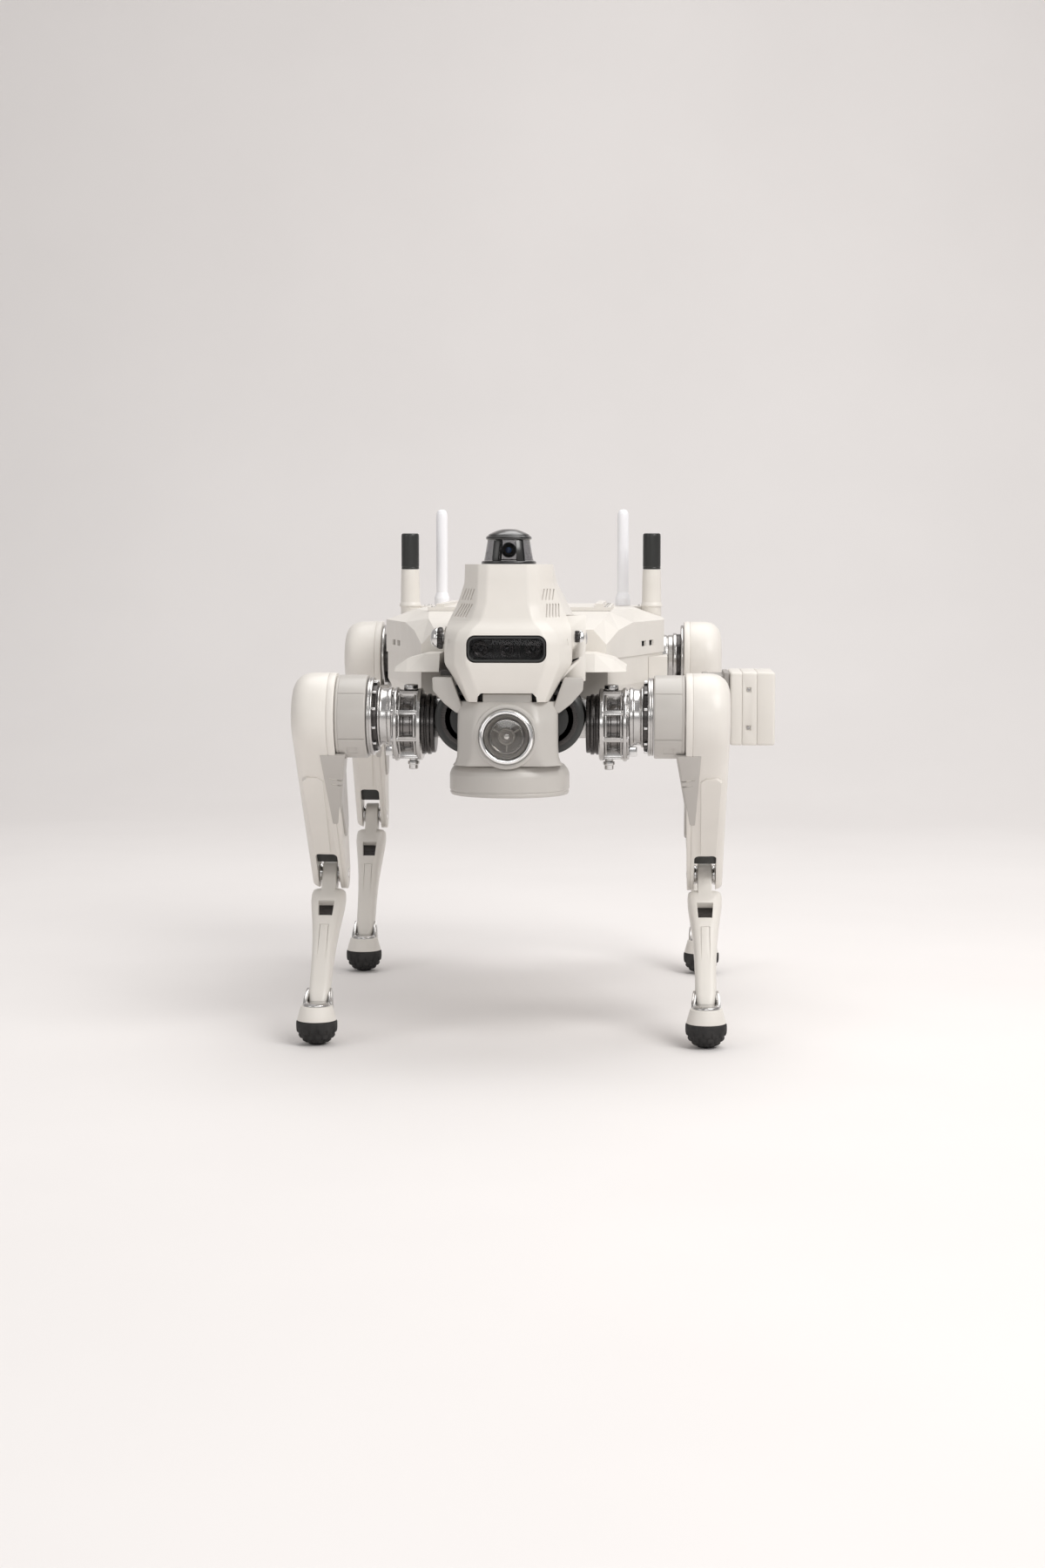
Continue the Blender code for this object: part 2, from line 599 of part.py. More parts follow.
def side_module(robot):
    """Finned module that hangs on an arm at the robot's left side."""
    arm = box("side_module_arm", (0.1840, -0.020, 0.396), (0.2325, 0.050, 0.416))
    plate = loft("arm_plate", [[(torso_half(y) - 0.0015, y, 0.428), (0.1870, y, 0.428),
                                (0.1870, y, 0.456), (torso_half(y) - 0.0015, y, 0.456)]
                               for y in (-0.028, SHOULDER_Y, 0.058)])
    web = box("arm_web", (0.1840, -0.020, 0.398), (0.1870, 0.050, 0.440))
    finish(join(arm, web, plate), "cream_shell", robot)
    cooler = box("side_module_cooler", (0.2328, -0.040, 0.352), (0.2600, 0.070, 0.436))
    for index in range(7):
        z = 0.364 + 0.0105 * index
        cut(cooler, box("fin_gap", (0.2400, -0.06, z), (0.2700, 0.09, z + 0.0055)))
    join(cooler, box("cooler_back", (0.2590, -0.040, 0.352), (0.2670, 0.070, 0.436)))
    finish(cooler, "cream_shell", robot)
    case = box("side_module_case", (0.2673, -0.045, 0.343), (0.3250, 0.075, 0.437))
    bevel(case, 0.004, 2)
    for x in (0.2825, 0.3055):
        groove = box("groove", (x - 0.0008, -0.08, 0.33), (x + 0.0008, -0.0430, 0.45))
        top_groove = box("groove", (x - 0.0008, -0.08, 0.4355), (x + 0.0008, 0.10, 0.45))
        cut(case, groove, top_groove)
    finish(case, "cream_shell", robot)


# ---------------------------------------------------------------- head
def head_section(z, front, front_half, cheek_y, cheek_half, side_y, side_half, back_y, back_half):
    """Horizontal outline of the head at a height, from the middle of the face round to the back."""
    right = [(front_half, front), (cheek_half, cheek_y), (side_half, side_y), (back_half, back_y)]
    outline = right + [(-x, y) for x, y in reversed(right)]
    return [(x, y, z) for x, y in outline]


def head_shell(robot):
    """Faceted head: face below, brow, and a column that carries the dome camera."""
    back = -0.2240
    face = HEAD_FRONT_Y
    head = loft("head_shell", [
        head_section(0.4165, face + 0.012, 0.030, face + 0.016, 0.0440, face + 0.030, 0.0480, back, 0.0480),
        head_section(0.4450, face + 0.004, 0.040, face + 0.012, 0.0540, face + 0.034, 0.0640, back, 0.0640),
        head_section(0.4620, face, 0.046, face + 0.012, 0.0610, face + 0.040, 0.0745, back, 0.0780),
        head_section(0.4860, face, 0.046, face + 0.012, 0.0600, face + 0.040, 0.0745, back, 0.0800),
        head_section(0.4990, face + 0.004, 0.040, face + 0.016, 0.0560, face + 0.044, 0.0735, back, 0.0800),
        head_section(0.5110, face + 0.018, 0.028, face + 0.026, 0.0400, face + 0.060, 0.0700, back, 0.0740),
        head_section(0.5350, face + 0.022, 0.0235, face + 0.028, 0.0350, face + 0.062, 0.0580, back + 0.000, 0.0620),
        head_section(0.5530, face + 0.023, 0.0235, face + 0.029, 0.0350, face + 0.058, 0.0520, back - 0.030, 0.0520),
        head_section(DOME_Z - 0.0015, face + 0.024, 0.0230, face + 0.030, 0.0345, face + 0.052, 0.0510,
                     back - 0.066, 0.0500)])
    under = box("neck_space", (-0.12, HEAD_FRONT_Y + 0.0500, 0.40), (0.12, -0.20, 0.4531))
    notch = loft("chin_notch", [[(x, y, z) for x, z in ((-0.034, 0.40), (0.034, 0.40), (0.030, 0.4270),
                                                       (-0.030, 0.4270))] for y in (-0.45, -0.20)])
    camera_pocket = box("camera_pocket", (-0.0453, -0.45, CAMERA_Z - 0.0148), (0.0453, -0.3780, CAMERA_Z + 0.0148))
    bevel(camera_pocket, 0.009, 3, 60)
    hollow = box("head_hollow", (-0.040, -0.362, 0.44), (0.040, -0.2360, 0.5280))
    cut(head, under, notch, camera_pocket, hollow)
    for sign in (1, -1):
        for index in range(3):
            slat = box("vent_slat", (-0.020, -0.0016, -0.011), (0.020, 0.0016, 0.011))
            lean = Matrix.Rotation(math.radians(sign * 26), 4, "Y")
            spot = Matrix.Translation((sign * 0.066, -0.330 + 0.014 * index, 0.528))
            slat.data.transform(spot @ lean)
            cut(head, slat)
    return finish(head, "cream_shell", robot)


def chin_shell(robot):
    """Gray lower face with the lamp hole, and an ear under each cheek."""
    front = HEAD_FRONT_Y + 0.002
    back = HEAD_FRONT_Y + 0.0495

    def section(z, half, flat, fore):
        right = [(flat, fore), (half, fore + 0.020), (half, back)]
        return [(x, y, z) for x, y in right + [(-x, y) for x, y in reversed(right)]]

    chin = loft("chin_shell", [section(CHIN_Z, 0.0620, 0.045, front + 0.004),
                               section(0.3530, 0.0585, 0.040, front + 0.001),
                               section(0.3900, 0.0585, 0.036, front),
                               section(0.4160, 0.0575, 0.030, front + 0.014)])
    brow = box("chin_brow", (-0.0290, front + 0.016, 0.410), (0.0290, back, 0.4262))
    join(chin, brow)
    for sign in (1, -1):
        low, high = sorted((sign * 0.0500, sign * 0.0880))
        ear = box("chin_ear", (low, back - 0.020, 0.402), (high, back, 0.4440))
        slope = box("ear_slope", (-0.03, -0.03, -0.030), (0.03, 0.03, 0.0))
        turn = Matrix.Rotation(math.radians(sign * -38), 4, "Y")
        slope.data.transform(Matrix.Translation((sign * 0.0740, back - 0.01, 0.4190)) @ turn)
        join(chin, cut(ear, slope))
    face_room = loft("face_room", [
        head_section(0.4162, front - 0.010, 0.030, face_y(0.004), 0.0444, face_y(0.018), 0.0486, back + 0.01, 0.0486),
        head_section(0.4450, front - 0.010, 0.040, face_y(0.000), 0.0546, face_y(0.022), 0.0646, back + 0.01, 0.0646),
        head_section(0.4700, front - 0.010, 0.046, face_y(0.000), 0.0620, face_y(0.022), 0.0790, back + 0.01, 0.0790)])
    notch_keep = box("notch_keep", (-0.0292, -0.50, 0.40), (0.0292, 0.0, 0.4264))
    cut(chin, cut(face_room, notch_keep))
    lamp_hole = cylinder("lamp_hole", 0.0325, -0.45, HEAD_FRONT_Y + 0.026, "Y", (0, 0, LAMP_Z), 24)
    return finish(cut(chin, lamp_hole), "gray_shell", robot)


def face_y(depth):
    return HEAD_FRONT_Y + depth


def nose_ring(robot):
    """Round base under the chin with a bevelled rim."""
    top = CHIN_Z - GAP
    profile = [(0, top), (0.0600, top), (0.0690, top - 0.0105), (0.0705, top - 0.0125),
               (0.0705, top - 0.0310), (0.0690, top - 0.0325), (0.0680, top - 0.0365), (0, top - 0.0365)]
    return finish(turned("nose_ring", profile, "Z", (0, -0.3290, 0), 24), "gray_shell", robot)


def lamp(robot):
    """Chrome bezel, reflector cup and front lens of the round lamp."""
    front = -HEAD_FRONT_Y + 0.005
    place = (0, 0, LAMP_Z)
    ring = turned("lamp_bezel", [(0, front - 0.0160), (0.0200, front - 0.0120), (0.0265, front - 0.0040),
                                 (0.0270, front - 0.0005), (0.0285, front), (0.0305, front - 0.0010),
                                 (0.0322, front - 0.0050), (0.0322, front - 0.0280),
                                 (0, front - 0.0280)], "Y", place, 24)
    ring.data.transform(Matrix.Translation(place) @ Matrix.Rotation(math.pi, 4, "Z")
                        @ Matrix.Translation((0, 0, -LAMP_Z)))
    finish(ring, "silver_metal", robot)
    glass = turned("lamp_lens", [(0, front - 0.0035), (0.0150, front - 0.0040), (0.0250, front - 0.0045),
                                 (0.0250, front - 0.0052), (0.0190, front - 0.0085), (0, front - 0.0110)],
                   "Y", place, 24)
    glass.data.transform(Matrix.Translation(place) @ Matrix.Rotation(math.pi, 4, "Z")
                         @ Matrix.Translation((0, 0, -LAMP_Z)))
    finish(glass, "lens_glass", robot)


def depth_camera(robot):
    body = box("depth_camera", (-0.0450, HEAD_FRONT_Y + 0.0015, CAMERA_Z - 0.0145),
               (0.0450, -0.3785, CAMERA_Z + 0.0145))
    bevel(body, 0.009, 3, 60)
    finish(body, "dark_window", robot)


def dome_camera(robot):
    """Camera under a clear collar: base, window, cap, a yoke that pans and a ball that tilts."""
    base_z = DOME_Z - 0.0015 + GAP
    place = (0, DOME_Y, 0)
    base = turned("dome_base", [(0, base_z + 0.0038), (0.0310, base_z + 0.0038), (0.0320, base_z + 0.0028),
                                (0.0320, base_z), (0, base_z)], "Z", place, 24)
    finish(base, "black_plastic", robot)
    low = base_z + 0.0038 + GAP
    cap_z = 0.6030
    window = turned("dome_window", [(0.0245, cap_z), (0.0262, cap_z - 0.010), (0.0290, low),
                                    (0.0272, low), (0.0245, cap_z - 0.010), (0.0228, cap_z),
                                    (0.0245, cap_z)], "Z", place, 24)
    finish(window, "dark_window", robot)
    cap = turned("dome_cap", [(0, 0.6160), (0.0120, 0.6146), (0.0200, 0.6115), (0.0255, 0.6085),
                              (0.0268, 0.6060), (0.0262, cap_z + GAP), (0, cap_z + GAP)], "Z", place, 24)
    finish(cap, "black_plastic", robot)
    pan = empty("dome_pan_axis", place, robot)
    ball_z = low + 0.0120
    yoke = cylinder("camera_yoke", 0.0150, low, low + 0.0016, "Z", sides=20)
    for sign in (1, -1):
        x = sign * 0.0118
        join(yoke, box("yoke_arm", (x - 0.0010, -0.0030, low + 0.0010), (x + 0.0010, 0.0030, ball_z + 0.0030)))
    finish(yoke, "black_plastic", pan)
    tilt = empty("dome_tilt_axis", (0, 0, ball_z), pan)
    ball_profile = [(0, BALL_R)]
    ball_profile += [(BALL_R * math.sin(math.radians(a)), BALL_R * math.cos(math.radians(a)))
                     for a in range(27, 150, 27)]
    ball_profile += [(0.0058, -0.0066), (0.0058, -0.0085), (0, -0.0085)]
    ball = turned("camera_ball", ball_profile, "Y", sides=14)
    flat = 0.0102
    for sign in (1, -1):
        cut(ball, box("ball_side", (sign * flat - 0.002, -0.02, -0.02), (sign * flat + 0.002, 0.02, 0.02)))
    finish(ball, "black_plastic", tilt)


def clamp_knobs(robot):
    """Round thumb knobs on the head's cheeks."""
    for side, sign in (("left", 1), ("right", -1)):
        profile = [(0, 0.0165), (0.0060, 0.0155), (0.0100, 0.0125), (0.0115, 0.0085), (0.0115, 0.0065),
                   (0.0128, 0.0062), (0.0128, 0.0006), (0, 0.0006)]
        knob = turned(f"clamp_knob_{side}", profile, "X", sides=16)
        if sign < 0:
            knob.data.transform(Matrix.Diagonal((-1, 1, 1, 1)))
            knob.data.flip_normals()
        axis = empty(f"clamp_knob_{side}_axis", (sign * 0.0755, -0.3440, 0.4890), robot)
        finish(knob, "silver_metal", axis)


# ---------------------------------------------------------------- the whole robot
def build_robot():
    robot = empty("robot_frame", FRAME_SHIFT)
    chassis_frame(robot)
    battery_pack(robot)
    control_computer(robot)
    torso_top_shell(robot)
    torso_belly_shell(robot)
    payload_deck(robot)
    antennas(robot)
    side_module(robot)
    head_shell(robot)
    chin_shell(robot)
    nose_ring(robot)
    lamp(robot)
    depth_camera(robot)
    dome_camera(robot)
    clamp_knobs(robot)
    build_legs(robot)


build_robot()
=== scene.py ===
"""Looks of the quadruped robot dog: fine shapes, materials, light and camera around the fixed frame."""

import json
import math

import bmesh
import bpy
from mathutils import Matrix, Vector


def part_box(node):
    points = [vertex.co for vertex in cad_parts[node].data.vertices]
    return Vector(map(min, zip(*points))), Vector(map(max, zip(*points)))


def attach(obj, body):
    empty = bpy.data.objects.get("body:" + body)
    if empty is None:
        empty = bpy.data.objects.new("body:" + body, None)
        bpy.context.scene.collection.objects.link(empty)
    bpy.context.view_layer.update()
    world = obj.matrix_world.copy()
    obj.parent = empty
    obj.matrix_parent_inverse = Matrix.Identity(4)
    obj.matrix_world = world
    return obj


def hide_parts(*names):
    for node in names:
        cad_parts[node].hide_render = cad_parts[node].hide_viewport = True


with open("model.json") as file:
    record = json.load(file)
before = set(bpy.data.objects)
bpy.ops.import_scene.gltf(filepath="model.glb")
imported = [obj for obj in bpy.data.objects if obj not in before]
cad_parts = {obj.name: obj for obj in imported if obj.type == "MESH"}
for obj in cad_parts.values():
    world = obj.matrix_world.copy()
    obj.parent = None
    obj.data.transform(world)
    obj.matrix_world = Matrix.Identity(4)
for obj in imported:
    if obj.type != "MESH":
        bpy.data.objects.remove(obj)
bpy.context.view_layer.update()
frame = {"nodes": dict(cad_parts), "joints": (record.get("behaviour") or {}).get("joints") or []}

NODES = frame["nodes"]
JOINTS = {joint["name"]: joint for joint in frame["joints"]}
LEGS = [(end, side) for end in ("front", "rear") for side in ("left", "right")]
MIDDLE_X = sum(corner[0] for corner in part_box("nose_ring")) / 2    # the robot's middle plane
THIGH_LENGTH = 0.248
SHANK_LENGTH = 0.224
FOOT_MID_Z = 0.0245
THIGH_HALF = 0.0265            # half the thigh's width at the hip
KNEE_TAPER = 0.17              # share of that width lost at the knee
THIGH_TOP_RADIUS = 0.0520
THIGH_END_RADIUS = 0.0195
PIN_HOLE = 0.0062
SLOT_HALF = 0.0135
TONGUE_HALF = 0.0086


# ---------------------------------------------------------------- materials
class Nodes:
    """Short names for building a node material."""

    def __init__(self, name):
        self.material = bpy.data.materials.new(name)
        self.material.use_nodes = True
        self.tree = self.material.node_tree
        self.shader = self.tree.nodes["Principled BSDF"]
        self.space = self.add("ShaderNodeTexCoord").outputs["Object"]

    def add(self, kind, **values):
        made = self.tree.nodes.new(kind)
        for key, value in values.items():
            if hasattr(made, key):
                setattr(made, key, value)
            else:
                made.inputs[key.replace("_", " ")].default_value = value
        return made

    def join(self, source, target):
        self.tree.links.new(source, target)

    def noise(self, scale, detail=4.0, roughness=0.55, stretch=None):
        texture = self.add("ShaderNodeTexNoise", Scale=scale, Detail=detail, Roughness=roughness)
        source = self.space
        if stretch:
            mapping = self.add("ShaderNodeMapping")
            mapping.inputs["Scale"].default_value = stretch
            self.join(source, mapping.inputs["Vector"])
            source = mapping.outputs["Vector"]
        self.join(source, texture.inputs["Vector"])
        return texture.outputs["Fac"]

    def ramp(self, source, low, high, start=0.35, end=0.65):
        ramp = self.add("ShaderNodeValToRGB")
        ramp.color_ramp.elements[0].position = start
        ramp.color_ramp.elements[1].position = end
        ramp.color_ramp.elements[0].color = low
        ramp.color_ramp.elements[1].color = high
        self.join(source, ramp.inputs["Fac"])
        return ramp.outputs["Color"]

    def spread(self, source, low, high, start=0.3, end=0.7):
        """A plain number that runs from low to high as source does from start to end."""
        spread = self.add("ShaderNodeMapRange")
        spread.inputs["From Min"].default_value = start
        spread.inputs["From Max"].default_value = end
        spread.inputs["To Min"].default_value = low
        spread.inputs["To Max"].default_value = high
        self.join(source, spread.inputs["Value"])
        return spread.outputs["Result"]

    def bump(self, source, strength, distance):
        bump = self.add("ShaderNodeBump")
        bump.inputs["Strength"].default_value = strength
        bump.inputs["Distance"].default_value = distance
        self.join(source, bump.inputs["Height"])
        self.join(bump.outputs["Normal"], self.shader.inputs["Normal"])

    def set(self, **values):
        for key, value in values.items():
            self.shader.inputs[key.replace("_", " ")].default_value = value


def rgba(red, green, blue):
    """An opaque colour."""
    return (red, green, blue, 1.0)


def plastic(name, colour, shift, roughness, grain=2600, coat=0.0):
    """Moulded plastic: fine spark grain, faint mottling and slightly uneven gloss."""
    kit = Nodes(name)
    mottle = kit.noise(9.0, 5.0)
    low = rgba(*[channel * (1 - shift) for channel in colour])
    high = rgba(*[min(1.0, channel * (1 + shift * 0.6)) for channel in colour])
    kit.join(kit.ramp(mottle, low, high), kit.shader.inputs["Base Color"])
    kit.join(kit.spread(kit.noise(38.0), roughness - 0.04, roughness + 0.06), kit.shader.inputs["Roughness"])
    kit.bump(kit.noise(grain, 2.0), 0.12, 0.0002)
    kit.set(Coat_Weight=coat, Coat_Roughness=0.18, Specular_IOR_Level=0.45)
    return kit.material


def metal(name, colour, roughness, stretch=(1.0, 60.0, 60.0), bump=0.05):
    """Machined metal with turning marks and faint smudges."""
    kit = Nodes(name)
    smudge = kit.noise(22.0, 6.0)
    low = rgba(*[channel * 0.86 for channel in colour])
    kit.join(kit.ramp(smudge, low, rgba(*colour)), kit.shader.inputs["Base Color"])
    marks = kit.noise(42.0, 3.0, 0.6, stretch)
    kit.join(kit.spread(marks, roughness * 0.7, roughness * 1.5), kit.shader.inputs["Roughness"])
    kit.bump(marks, bump, 0.0002)
    kit.set(Metallic=1.0)
    return kit.material


def rubber():
    """Black rubber, dusty and finely pitted."""
    kit = Nodes("black_rubber")
    dust = kit.noise(55.0, 6.0, 0.65)
    kit.join(kit.ramp(dust, rgba(0.016, 0.0155, 0.0155), rgba(0.042, 0.040, 0.039), 0.3, 0.75),
             kit.shader.inputs["Base Color"])
    kit.join(kit.spread(kit.noise(120.0), 0.62, 0.85), kit.shader.inputs["Roughness"])
    kit.bump(kit.noise(700.0, 4.0), 0.5, 0.0006)
    kit.set(Specular_IOR_Level=0.35)
    return kit.material


def tinted_window(name, colour, roughness=0.05):
    """Gloss black window whose faint haze breaks up its reflections."""
    kit = Nodes(name)
    haze = kit.noise(14.0, 5.0)
    kit.join(kit.ramp(haze, rgba(*colour), rgba(*[channel * 1.5 + 0.002 for channel in colour])),
             kit.shader.inputs["Base Color"])
    kit.join(kit.spread(haze, roughness, roughness + 0.05), kit.shader.inputs["Roughness"])
    kit.set(Coat_Weight=1.0, Coat_Roughness=0.03, Specular_IOR_Level=0.6)
    return kit.material


def clear_glass(name, tint, roughness=0.02, index=1.46):
    """Clear or tinted glass with a faint uneven film on it."""
    kit = Nodes(name)
    film = kit.noise(30.0, 4.0)
    kit.join(kit.spread(film, roughness, roughness + 0.03), kit.shader.inputs["Roughness"])
    kit.join(kit.ramp(film, rgba(*tint), rgba(*[min(1.0, channel * 1.06) for channel in tint])),
             kit.shader.inputs["Base Color"])
    kit.set(Transmission_Weight=1.0, IOR=index)
    return kit.material


def lens_blue_painted_glint():
    """Front element of a small lens with a blue coating, its colour brightened into a painted glint."""
    kit = Nodes("coated_lens_painted_glint")
    glint_swirl = kit.noise(90.0, 3.0)
    # Painted glint: the ramp runs up to a bright blue that stands in for a highlight on the coating.
    kit.join(kit.ramp(glint_swirl, rgba(0.02, 0.05, 0.14), rgba(0.12, 0.34, 0.85), 0.30, 0.70),
             kit.shader.inputs["Base Color"])
    kit.join(kit.spread(glint_swirl, 0.03, 0.10), kit.shader.inputs["Roughness"])
    kit.set(Coat_Weight=1.0, Coat_Roughness=0.02, Specular_IOR_Level=0.9)
    return kit.material


LOOK = {
    "cream": plastic("cream_shell", (0.745, 0.714, 0.668), 0.035, 0.40, coat=0.12),
    "gray": plastic("gray_shell", (0.500, 0.478, 0.450), 0.04, 0.36, coat=0.12),
    "gray_dark": plastic("gray_shell_dark", (0.330, 0.310, 0.290), 0.05, 0.42),
    "silver": metal("silver_metal", (0.60, 0.59, 0.58), 0.20),
    "silver_bright": metal("silver_bright", (0.76, 0.755, 0.75), 0.14, bump=0.02),
    "chrome": metal("chrome_trim", (0.93, 0.93, 0.93), 0.07, (1, 1, 1), 0.01),
    "dark": metal("dark_metal", (0.085, 0.080, 0.078), 0.26),
    "black": plastic("black_plastic", (0.012, 0.012, 0.012), 0.25, 0.22, coat=0.8),
    "black_satin": plastic("black_satin", (0.022, 0.023, 0.022), 0.20, 0.36, 1500, 0.2),
    "white": plastic("white_plastic", (0.90, 0.90, 0.93), 0.02, 0.36, coat=0.3),
    "smoked_metal": metal("smoked_metal", (0.22, 0.21, 0.205), 0.18),
    "rubber": rubber(),
    "window": tinted_window("dark_window", (0.006, 0.006, 0.007)),
    "glass": clear_glass("lens_glass", (0.93, 0.92, 0.90)),
    "pane": clear_glass("clear_pane", (0.50, 0.50, 0.51), index=1.20),
    # Camera eye lens: blue coating with a painted glint.
    "coated_painted_glint": lens_blue_painted_glint(),
}


# ---------------------------------------------------------------- stage, light and camera
def stage():
    """Pale floor that curves up into a backdrop."""
    shape = bmesh.new()
    bend_start, bend_radius, bend_steps = 2.4, 1.6, 12
    profile = [(-6.0, 0.0), (bend_start, 0.0)]
    for step in range(1, bend_steps + 1):
        turn = math.radians(90 * step / bend_steps)
        profile.append((bend_start + bend_radius * math.sin(turn), bend_radius - bend_radius * math.cos(turn)))
    profile.append((4.0, 7.0))
    rows = [[shape.verts.new((x, y, z)) for y, z in profile] for x in (-7.0, 7.0)]
    for index in range(len(profile) - 1):
        shape.faces.new((rows[0][index], rows[1][index], rows[1][index + 1], rows[0][index + 1]))
    mesh = bpy.data.meshes.new("studio_floor")
    shape.to_mesh(mesh)
    shape.free()
    floor = bpy.data.objects.new("studio_floor", mesh)
    bpy.context.scene.collection.objects.link(floor)
    mesh.shade_smooth()
    kit = Nodes("studio_paper")
    kit.join(kit.ramp(kit.noise(1.6, 3.0), rgba(0.80, 0.775, 0.765), rgba(0.82, 0.795, 0.785)),
             kit.shader.inputs["Base Color"])
    kit.set(Roughness=0.75)
    mesh.materials.append(kit.material)


def area_light(name, place, target, size, power, colour=(1, 1, 1)):
    """A softbox aimed at a point; size is its width and height, power is in watts."""
    lamp = bpy.data.lights.new(name, "AREA")
    lamp.shape = "RECTANGLE"
    lamp.size = size[0]
    lamp.size_y = size[1]
    lamp.energy = power
    lamp.color = colour
    holder = bpy.data.objects.new(name, lamp)
    holder.location = place
    aim = Vector(target) - Vector(place)
    holder.rotation_euler = aim.to_track_quat("-Z", "Y").to_euler()
    bpy.context.scene.collection.objects.link(holder)


def lights():
    """Four softboxes and a pale world."""
    area_light("key_softbox", (2.2, -2.2, 3.0), (0, 0, 0.3), (2.2, 2.2), 92, (1.0, 0.985, 0.965))
    area_light("top_softbox", (0.3, 0.9, 3.4), (0, 0.6, 0.3), (3.0, 3.0), 68, (1.0, 0.99, 0.98))
    area_light("fill_softbox", (-3.0, -2.4, 1.8), (0, 0, 0.35), (2.0, 2.2), 13, (1.0, 0.985, 0.97))
    area_light("front_strip", (0.2, -4.2, 1.4), (0, 0, 0.3), (2.4, 0.7), 14)
    world = bpy.data.worlds.new("studio")
    world.use_nodes = True
    background = world.node_tree.nodes["Background"]
    background.inputs["Color"].default_value = (0.95, 0.93, 0.92, 1)
    background.inputs["Strength"].default_value = 0.42
    bpy.context.scene.world = world
    bpy.context.scene.view_settings.view_transform = "Standard"


def camera():
    """Long lens at head height, a little to the robot's left, looking slightly down."""
    lens_yaw = math.radians(2.8)
    downward, distance, shift, height = 4.9, 3.105, 0.0135, 0.580
    front_hips = Vector((MIDDLE_X, JOINTS["front_left_hip_pitch"]["pos_m"][1], 0))
    ahead = Vector((-math.sin(lens_yaw), math.cos(lens_yaw), 0))
    right = Vector((ahead.y, -ahead.x, 0))
    place = front_hips + right * shift - ahead * distance
    place.z = height
    data = bpy.data.cameras.new("camera")
    data.lens = 60
    data.sensor_width = 36
    holder = bpy.data.objects.new("camera", data)
    holder.location = place
    holder.rotation_euler = (math.radians(90 - downward), 0, lens_yaw)
    bpy.context.scene.collection.objects.link(holder)
    bpy.context.scene.camera = holder


# ---------------------------------------------------------------- mesh helpers
def piece(name, shape, look, body, replaced=(), smooth=35, frame_matrix=None):
    """Turn a bmesh into a finished piece that rides on a body."""
    mesh = bpy.data.meshes.new(name)
    bmesh.ops.recalc_face_normals(shape, faces=shape.faces[:])
    shape.to_mesh(mesh)
    shape.free()
    return dress(name, mesh, look, body, replaced, smooth, frame_matrix)


def dress(name, mesh, look, body, replaced=(), smooth=35, frame_matrix=None):
    """Make an object of a mesh: place it, give it its look, and hang it on its body."""
    made = bpy.data.objects.new(name, mesh)
    bpy.context.scene.collection.objects.link(made)
    if frame_matrix is not None:
        mesh.transform(frame_matrix)
        if frame_matrix.determinant() < 0:
            mesh.flip_normals()
    mesh.materials.clear()
    mesh.materials.append(LOOK[look])
    mesh.shade_smooth()
    mesh.set_sharp_from_angle(angle=math.radians(smooth))
    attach(made, body)
    if replaced:
        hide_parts(*replaced)
    return made


AXIS_TURN = {"X": Matrix.Rotation(math.radians(90), 4, "Y"),
             "Y": Matrix.Rotation(math.radians(-90), 4, "X"),
             "Z": Matrix.Identity(4)}


def lathe(profile, sides=72, axis="Z", centre=(0, 0, 0)):
    """Turn (radius, height) points round an axis; points on the axis close the ends."""
    shape = bmesh.new()
    rings = []
    for radius, height in profile:
        if radius < 1e-7:
            rings.append([shape.verts.new((0, 0, height))])
            continue
        rings.append([shape.verts.new((radius * math.cos(2 * math.pi * side / sides),
                                       radius * math.sin(2 * math.pi * side / sides), height))
                      for side in range(sides)])
    for first, second in zip(rings, rings[1:]):
        for side in range(sides):
            after = (side + 1) % sides
            corners = [first[side % len(first)], first[after % len(first)],
                       second[after % len(second)], second[side % len(second)]]
            unique = list(dict.fromkeys(corners))
            if len(unique) > 2:
                shape.faces.new(unique)
    bmesh.ops.transform(shape, matrix=Matrix.Translation(centre) @ AXIS_TURN[axis], verts=shape.verts[:])
    return shape


def rounded(profile, radius, steps=3):
    """Round the corners of an open (radius, height) profile."""
    points = [Vector(point) for point in profile]
    result = [points[0]]
    for before, corner, after in zip(points, points[1:], points[2:]):
        to_before = before - corner
        to_after = after - corner
        reach = min(radius, to_before.length * 0.45, to_after.length * 0.45)
        start = corner + to_before.normalized() * reach
        stop = corner + to_after.normalized() * reach
        for step in range(steps + 1):
            t = step / steps
            result.append(start * (1 - t) ** 2 + corner * 2 * t * (1 - t) + stop * t ** 2)
    result.append(points[-1])
    return [tuple(point) for point in result]


def block(low, high, width=0.0, segments=2):
    """A box, its edges rounded where a width is given."""
    shape = bmesh.new()
    bmesh.ops.create_cube(shape, size=1.0)
    size = Vector(high) - Vector(low)
    middle = (Vector(high) + Vector(low)) / 2
    bmesh.ops.transform(shape, matrix=Matrix.Diagonal((*size, 1.0)), verts=shape.verts[:])
    if width:
        bmesh.ops.bevel(shape, geom=shape.edges[:] + shape.verts[:], offset=width, segments=segments,
                        affect="EDGES", profile=0.5, clamp_overlap=True)
    bmesh.ops.transform(shape, matrix=Matrix.Translation(middle), verts=shape.verts[:])
    return shape


def bridge(shape, rings):
    """Join rings of equal length with quads and close both ends."""
    count = len(rings[0])
    for lower, upper in zip(rings, rings[1:]):
        for index in range(count):
            after = (index + 1) % count
            shape.faces.new((lower[index], lower[after], upper[after], upper[index]))
    shape.faces.new(rings[0])
    shape.faces.new(rings[-1])
    return shape


def skin(sections):
    """Skin a row of closed outlines with equal point counts."""
    shape = bmesh.new()
    return bridge(shape, [[shape.verts.new(point) for point in section] for section in sections])


def merge(*shapes):
    """Several shapes as one bmesh."""
    total = shapes[0]
    for extra in shapes[1:]:
        mesh = bpy.data.meshes.new("merge")
        extra.to_mesh(mesh)
        extra.free()
        total.from_mesh(mesh)
        bpy.data.meshes.remove(mesh)
    return total


def moved(shape, matrix):
    """Move a bmesh by a matrix and hand it back."""
    bmesh.ops.transform(shape, matrix=matrix, verts=shape.verts[:])
    return shape


